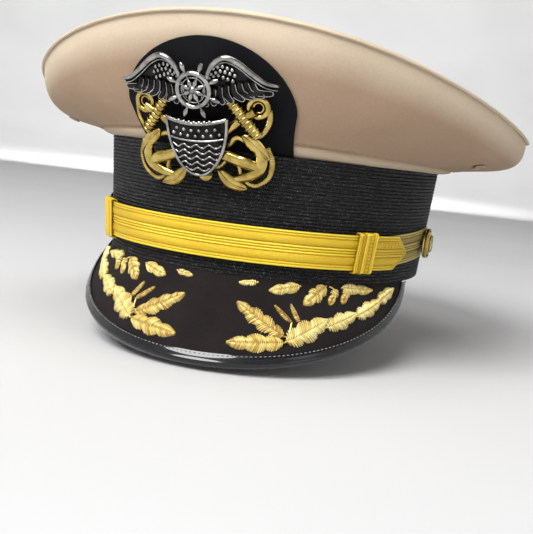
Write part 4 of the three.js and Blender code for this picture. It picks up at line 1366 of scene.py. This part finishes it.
def wing(shape, sign):
    """A spread wing: a bright rolled leading edge, rows of small scales, then long feathers."""
    base = SILVER_TOP - 1.6
    edge = flat_line(mirrored(WING_EDGE, sign), base + 1.1, 60)
    thick = 1.35 * np.sin(np.linspace(0.12, 0.95, 60) * math.pi) ** 0.6
    shape.add(**tubes(edge, thick, sides=12))
    inner = edge * np.array([0.985, 1, 1]) - np.array([0, 1.9, 0.25])
    shape.add(**tubes(inner, thick * 0.28 + 0.08, sides=8))
    low = flat_line(mirrored(WING_FOOT, sign), base, 60)
    share = np.linspace(0, 1, 12)[None, :, None]
    sheet = low[:, None] * (1 - share) + edge[:, None] * share
    sheet[..., 2] = base - 0.3
    # The sheet takes the dark silver, painted dark reflection.
    shape.add(**shell(sheet[::sign], 1.6, round_rows=False), finish=1)
    for k in range(FEATHERS):
        q = k / (FEATHERS - 1)
        root = np.array([mix(6.4, 26.5, q), mix(42.5, 46.4, q) - 1.6 * (2 * q - 1) ** 2])
        tip = low[int(mix(3, 50, q ** 0.9)), :2] * np.array([sign, 1]) + np.array([0.2, -0.3])
        bow = (root + tip) / 2 + np.array([-1.9 * q - 0.4, -1.5 * q - 0.2])
        line = flat_line(mirrored([root, bow, tip], sign), base + 0.55, 24)
        half = 1.4 * np.sin(np.linspace(0.15, 0.9, 24) * math.pi) ** 0.4
        # The feathers take the dark silver, painted dark reflection.
        shape.add(**blade(line, half, 0.5), finish=1)
        along = unit(np.gradient(line, axis=0))
        over = np.cross((0, 0, 1.0), along) * half[:, None]
        outline = np.concatenate([(line + over)[2:], line[-1:] + along[-1] * 0.35, (line - over)[:12:-1]])
        outline = outline + np.array([0, 0, 0.35])
        shape.add(**tubes(outline, 0.3, sides=6))
    scales = []
    for row in range(3):
        for k in range(6):
            x, y = 7.8 + k * 2.1 + row % 2, 52.2 - row * 2.1 - abs(k + row * 0.4 - 2.6) * 0.75
            scales.append((sign * x, y, base + 1.1))
    for scale in studs([(0, -0.3), (0.95, -0.3), (0.8, 0.4), (0, 0.8)], 12, scales, (0.85, 1.05, 1)):
        shape.add(**scale)


def ship_wheel(shape):
    """A spoked wheel with turned handles, between the wings and over the shield."""
    x, y, z = 0.0, 41.2, SILVER_TOP + 0.4
    disc = [(0, 0), (8.4, 0), (8.4, 1.6), (0, 2.0)]
    hub = [(0, 0), (2.1, 0), (2.1, 1.8), (1.3, 2.3), (0.9, 2.9), (0, 3.0)]
    # The disc takes the dark silver, painted dark reflection.
    shape.add(**studs(disc, 32, [(x, y, SILVER_BACK)])[0], finish=1)
    shape.add(**tubes(circle(x, y, 7.6, z), 1.15, sides=12))
    shape.add(**tubes(circle(x, y, 5.6, z - 0.1), 0.38, sides=8))
    shape.add(**studs(hub, 32, [(x, y, z - 1.2)])[0])
    out = np.linspace(1.6, 13.2, 26)
    turning = 0.30 * np.cos((out - 4.0) * 1.5) * (out < 6.6)
    handle = 0.70 * np.clip(np.sin((out - 8.8) / 4.4 * math.pi), 0, 1)
    for angle in (np.arange(8) + 0.5) * TURN / 8:
        spoke = np.column_stack([x + out * np.cos(angle), y + out * np.sin(angle), np.full(26, z + 0.15)])
        shape.add(**tubes(spoke, 0.55 + turning + handle, sides=10))


def badge_wings():
    """Two spread wings joined by the wheel."""
    shape = Shape()
    wing(shape, 1)
    wing(shape, -1)
    ship_wheel(shape)
    build("wings_and_wheel", shape.moved(on_badge), "frame", "silver", [SILVER, SILVER_DARK], "badge_wings")


def post_axis():
    """Where the badge's post meets the band, and its direction out of the cap."""
    away = np.array([math.sin(BADGE_TURN), -math.cos(BADGE_TURN), 0])
    out = mix(BAND_FOOT[1], BAND_TOP[1], POST_HEIGHT / BAND_HEIGHT) + 0.3
    return away * out + np.array([0, 0, POST_HEIGHT]), away


def badge_nut():
    """A round nut with a knurled edge on the inside end of the badge's post."""
    at, away = post_axis()
    face = -np.linalg.norm(at[:2]) + TUCK[1] - 2.0
    sides = 96
    outline = np.array([(1.65, -3.0), (5.3, -3.0), (5.8, -2.7), (5.8, -0.9), (4.6, -0.1), (3.2, 0.0),
                        (1.65, 0.0)])
    made = lathe(outline, sides)
    knurl = 1 + 0.035 * np.where(np.arange(sides) % 4 < 2, 1, -1)
    rim = outline[:, 0] > 5
    scale = np.where(rim[None, :], knurl[:, None], 1.0)[..., None]
    made["points"] = made["points"] * np.concatenate([scale, scale, np.ones_like(scale)], -1)
    made["points"] = made["points"] + np.array([0, 0, face])
    shape = stood(Shape().add(**made), at, away)
    build("knurled_nut", shape, "badge_nut", "gilt", [GILT], "badge_nut")


def cad_metals():
    """The pieces whose CAD shape is right as it is get a material only."""
    kept = {"badge_post": GILT, "button_clip_left": STEEL, "button_clip_right": STEEL, "front_stay": STEEL}
    for name, finish in kept.items():
        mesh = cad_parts[name].data
        mesh.materials.clear()
        mesh.materials.append(finish)


# ---- the stage, the lights and the camera --------------------------------------------------------

def stage():
    """A pale floor just under the visor, that curves up into a wall all round."""
    level, flat, bend, wall, sides = -43.2, 2600, 1400, 3000, 96
    angle = np.linspace(0, 90, 16) * DEGREE
    radius = np.concatenate([[0, 600, 1500], flat + bend * np.sin(angle), [flat + bend]])
    height = np.concatenate([[0, 0, 0], bend * (1 - np.cos(angle)), [wall]]) + level
    turn = np.arange(sides) * TURN / sides
    points = np.stack([radius * np.cos(turn)[:, None], radius * np.sin(turn)[:, None],
                       np.broadcast_to(height, (sides, len(radius)))], -1)
    made = grid(points, True, False)
    mesh = bpy.data.meshes.new("floor")
    mesh.from_pydata((points.reshape(-1, 3) * MM).tolist(), [], made["faces"])
    mesh.shade_smooth()
    paper = Finish("floor_paper", roughness=0.9, specular_ior_level=0.1)
    paper.set("Base Color", paper.ramp(paper.noise(3.0, 2.0), (0.3, 0.53), (0.7, 0.57)))
    mesh.materials.append(paper.material)
    floor = bpy.data.objects.new("floor", mesh)
    bpy.context.scene.collection.objects.link(floor)


def area_light(name, at, target, size, watts):
    """A round white lamp, in metres and watts."""
    data = bpy.data.lights.new(name, "AREA")
    data.shape, data.size, data.energy = "DISK", size, watts
    light = bpy.data.objects.new(name, data)
    light.location = at
    light.rotation_euler = (Vector(target) - Vector(at)).to_track_quat("-Z", "Y").to_euler()
    bpy.context.scene.collection.objects.link(light)


def lights():
    """A soft key from the front and above, weak top and fill, and four lamps on the backdrop."""
    world = bpy.data.worlds.new("studio")
    world.use_nodes = True
    sky = world.node_tree.nodes["Background"]
    sky.inputs["Color"].default_value = (1, 1, 1, 1)
    sky.inputs["Strength"].default_value = 0.25
    bpy.context.scene.world = world
    bpy.context.scene.view_settings.view_transform = "Standard"
    middle = (0, 0, 0.05)
    area_light("key", (-0.4, -1.3, 1.4), middle, 1.3, 54)
    area_light("top", (0.1, -0.15, 1.9), middle, 1.0, 9)
    area_light("fill", (1.5, -1.0, 0.6), middle, 0.8, 1.5)
    for turn in (-0.3, 1.3, 2.9, 4.5):
        out = Vector((math.sin(turn), math.cos(turn), 0))
        lamp, wall = out * 1.4 + Vector((0, 0, 0.8)), out * 4 + Vector((0, 0, 1.2))
        area_light("backdrop", lamp, wall, 1.5, 60)


def camera():
    """The photograph's view: a little to the wearer's left, a little above, and rolled."""
    azimuth, elevation, roll = [angle * DEGREE for angle in (14.191, 7.448, 6.779)]
    distance, across, height = 0.558645, 0.000411, -0.007319
    back = Vector((math.sin(azimuth) * math.cos(elevation), -math.cos(azimuth) * math.cos(elevation),
                   math.sin(elevation)))
    target = Vector((across * math.cos(azimuth), across * math.sin(azimuth), height))
    right = Vector((math.cos(azimuth), math.sin(azimuth), 0))
    up = back.cross(right)
    axes = Matrix((right * math.cos(roll) + up * math.sin(roll),
                   up * math.cos(roll) - right * math.sin(roll), back)).transposed()
    data = bpy.data.cameras.new("camera")
    data.sensor_fit, data.sensor_height, data.lens = "VERTICAL", 36, 64.7
    data.clip_start, data.clip_end = 0.01, 20
    seen = bpy.data.objects.new("camera", data)
    seen.matrix_world = Matrix.Translation(target + back * distance) @ axes.to_4x4()
    bpy.context.scene.collection.objects.link(seen)
    bpy.context.scene.camera = seen


camera()
stage()
lights()
frame_shell()
mohair_band()
sweatband()
stay_pocket()
cover_hem()
cover_lining()
cover_side()
cover_top()
# The welt takes the paler khaki, painted light.
rim_cord("rim_welt_piping", 0.9, 0.15, 0.8, "khaki_twill", KHAKI_TOP, "rim_welt", 0.05)
rim_cord("rim_hoop_wire", -3.4, -2.4, 1.5, "steel", STEEL, "rim_hoop")
visor_pieces()
visor_binding()
chin_strap_front()
badge_mount()
badge_anchors()
badge_shield()
badge_wings()
badge_nut()
for side in (1, -1):
    eyelet(side)
    embroidery(side)
    chin_strap_side(side)
    keeper(side)
    side_button(side)
cad_metals()
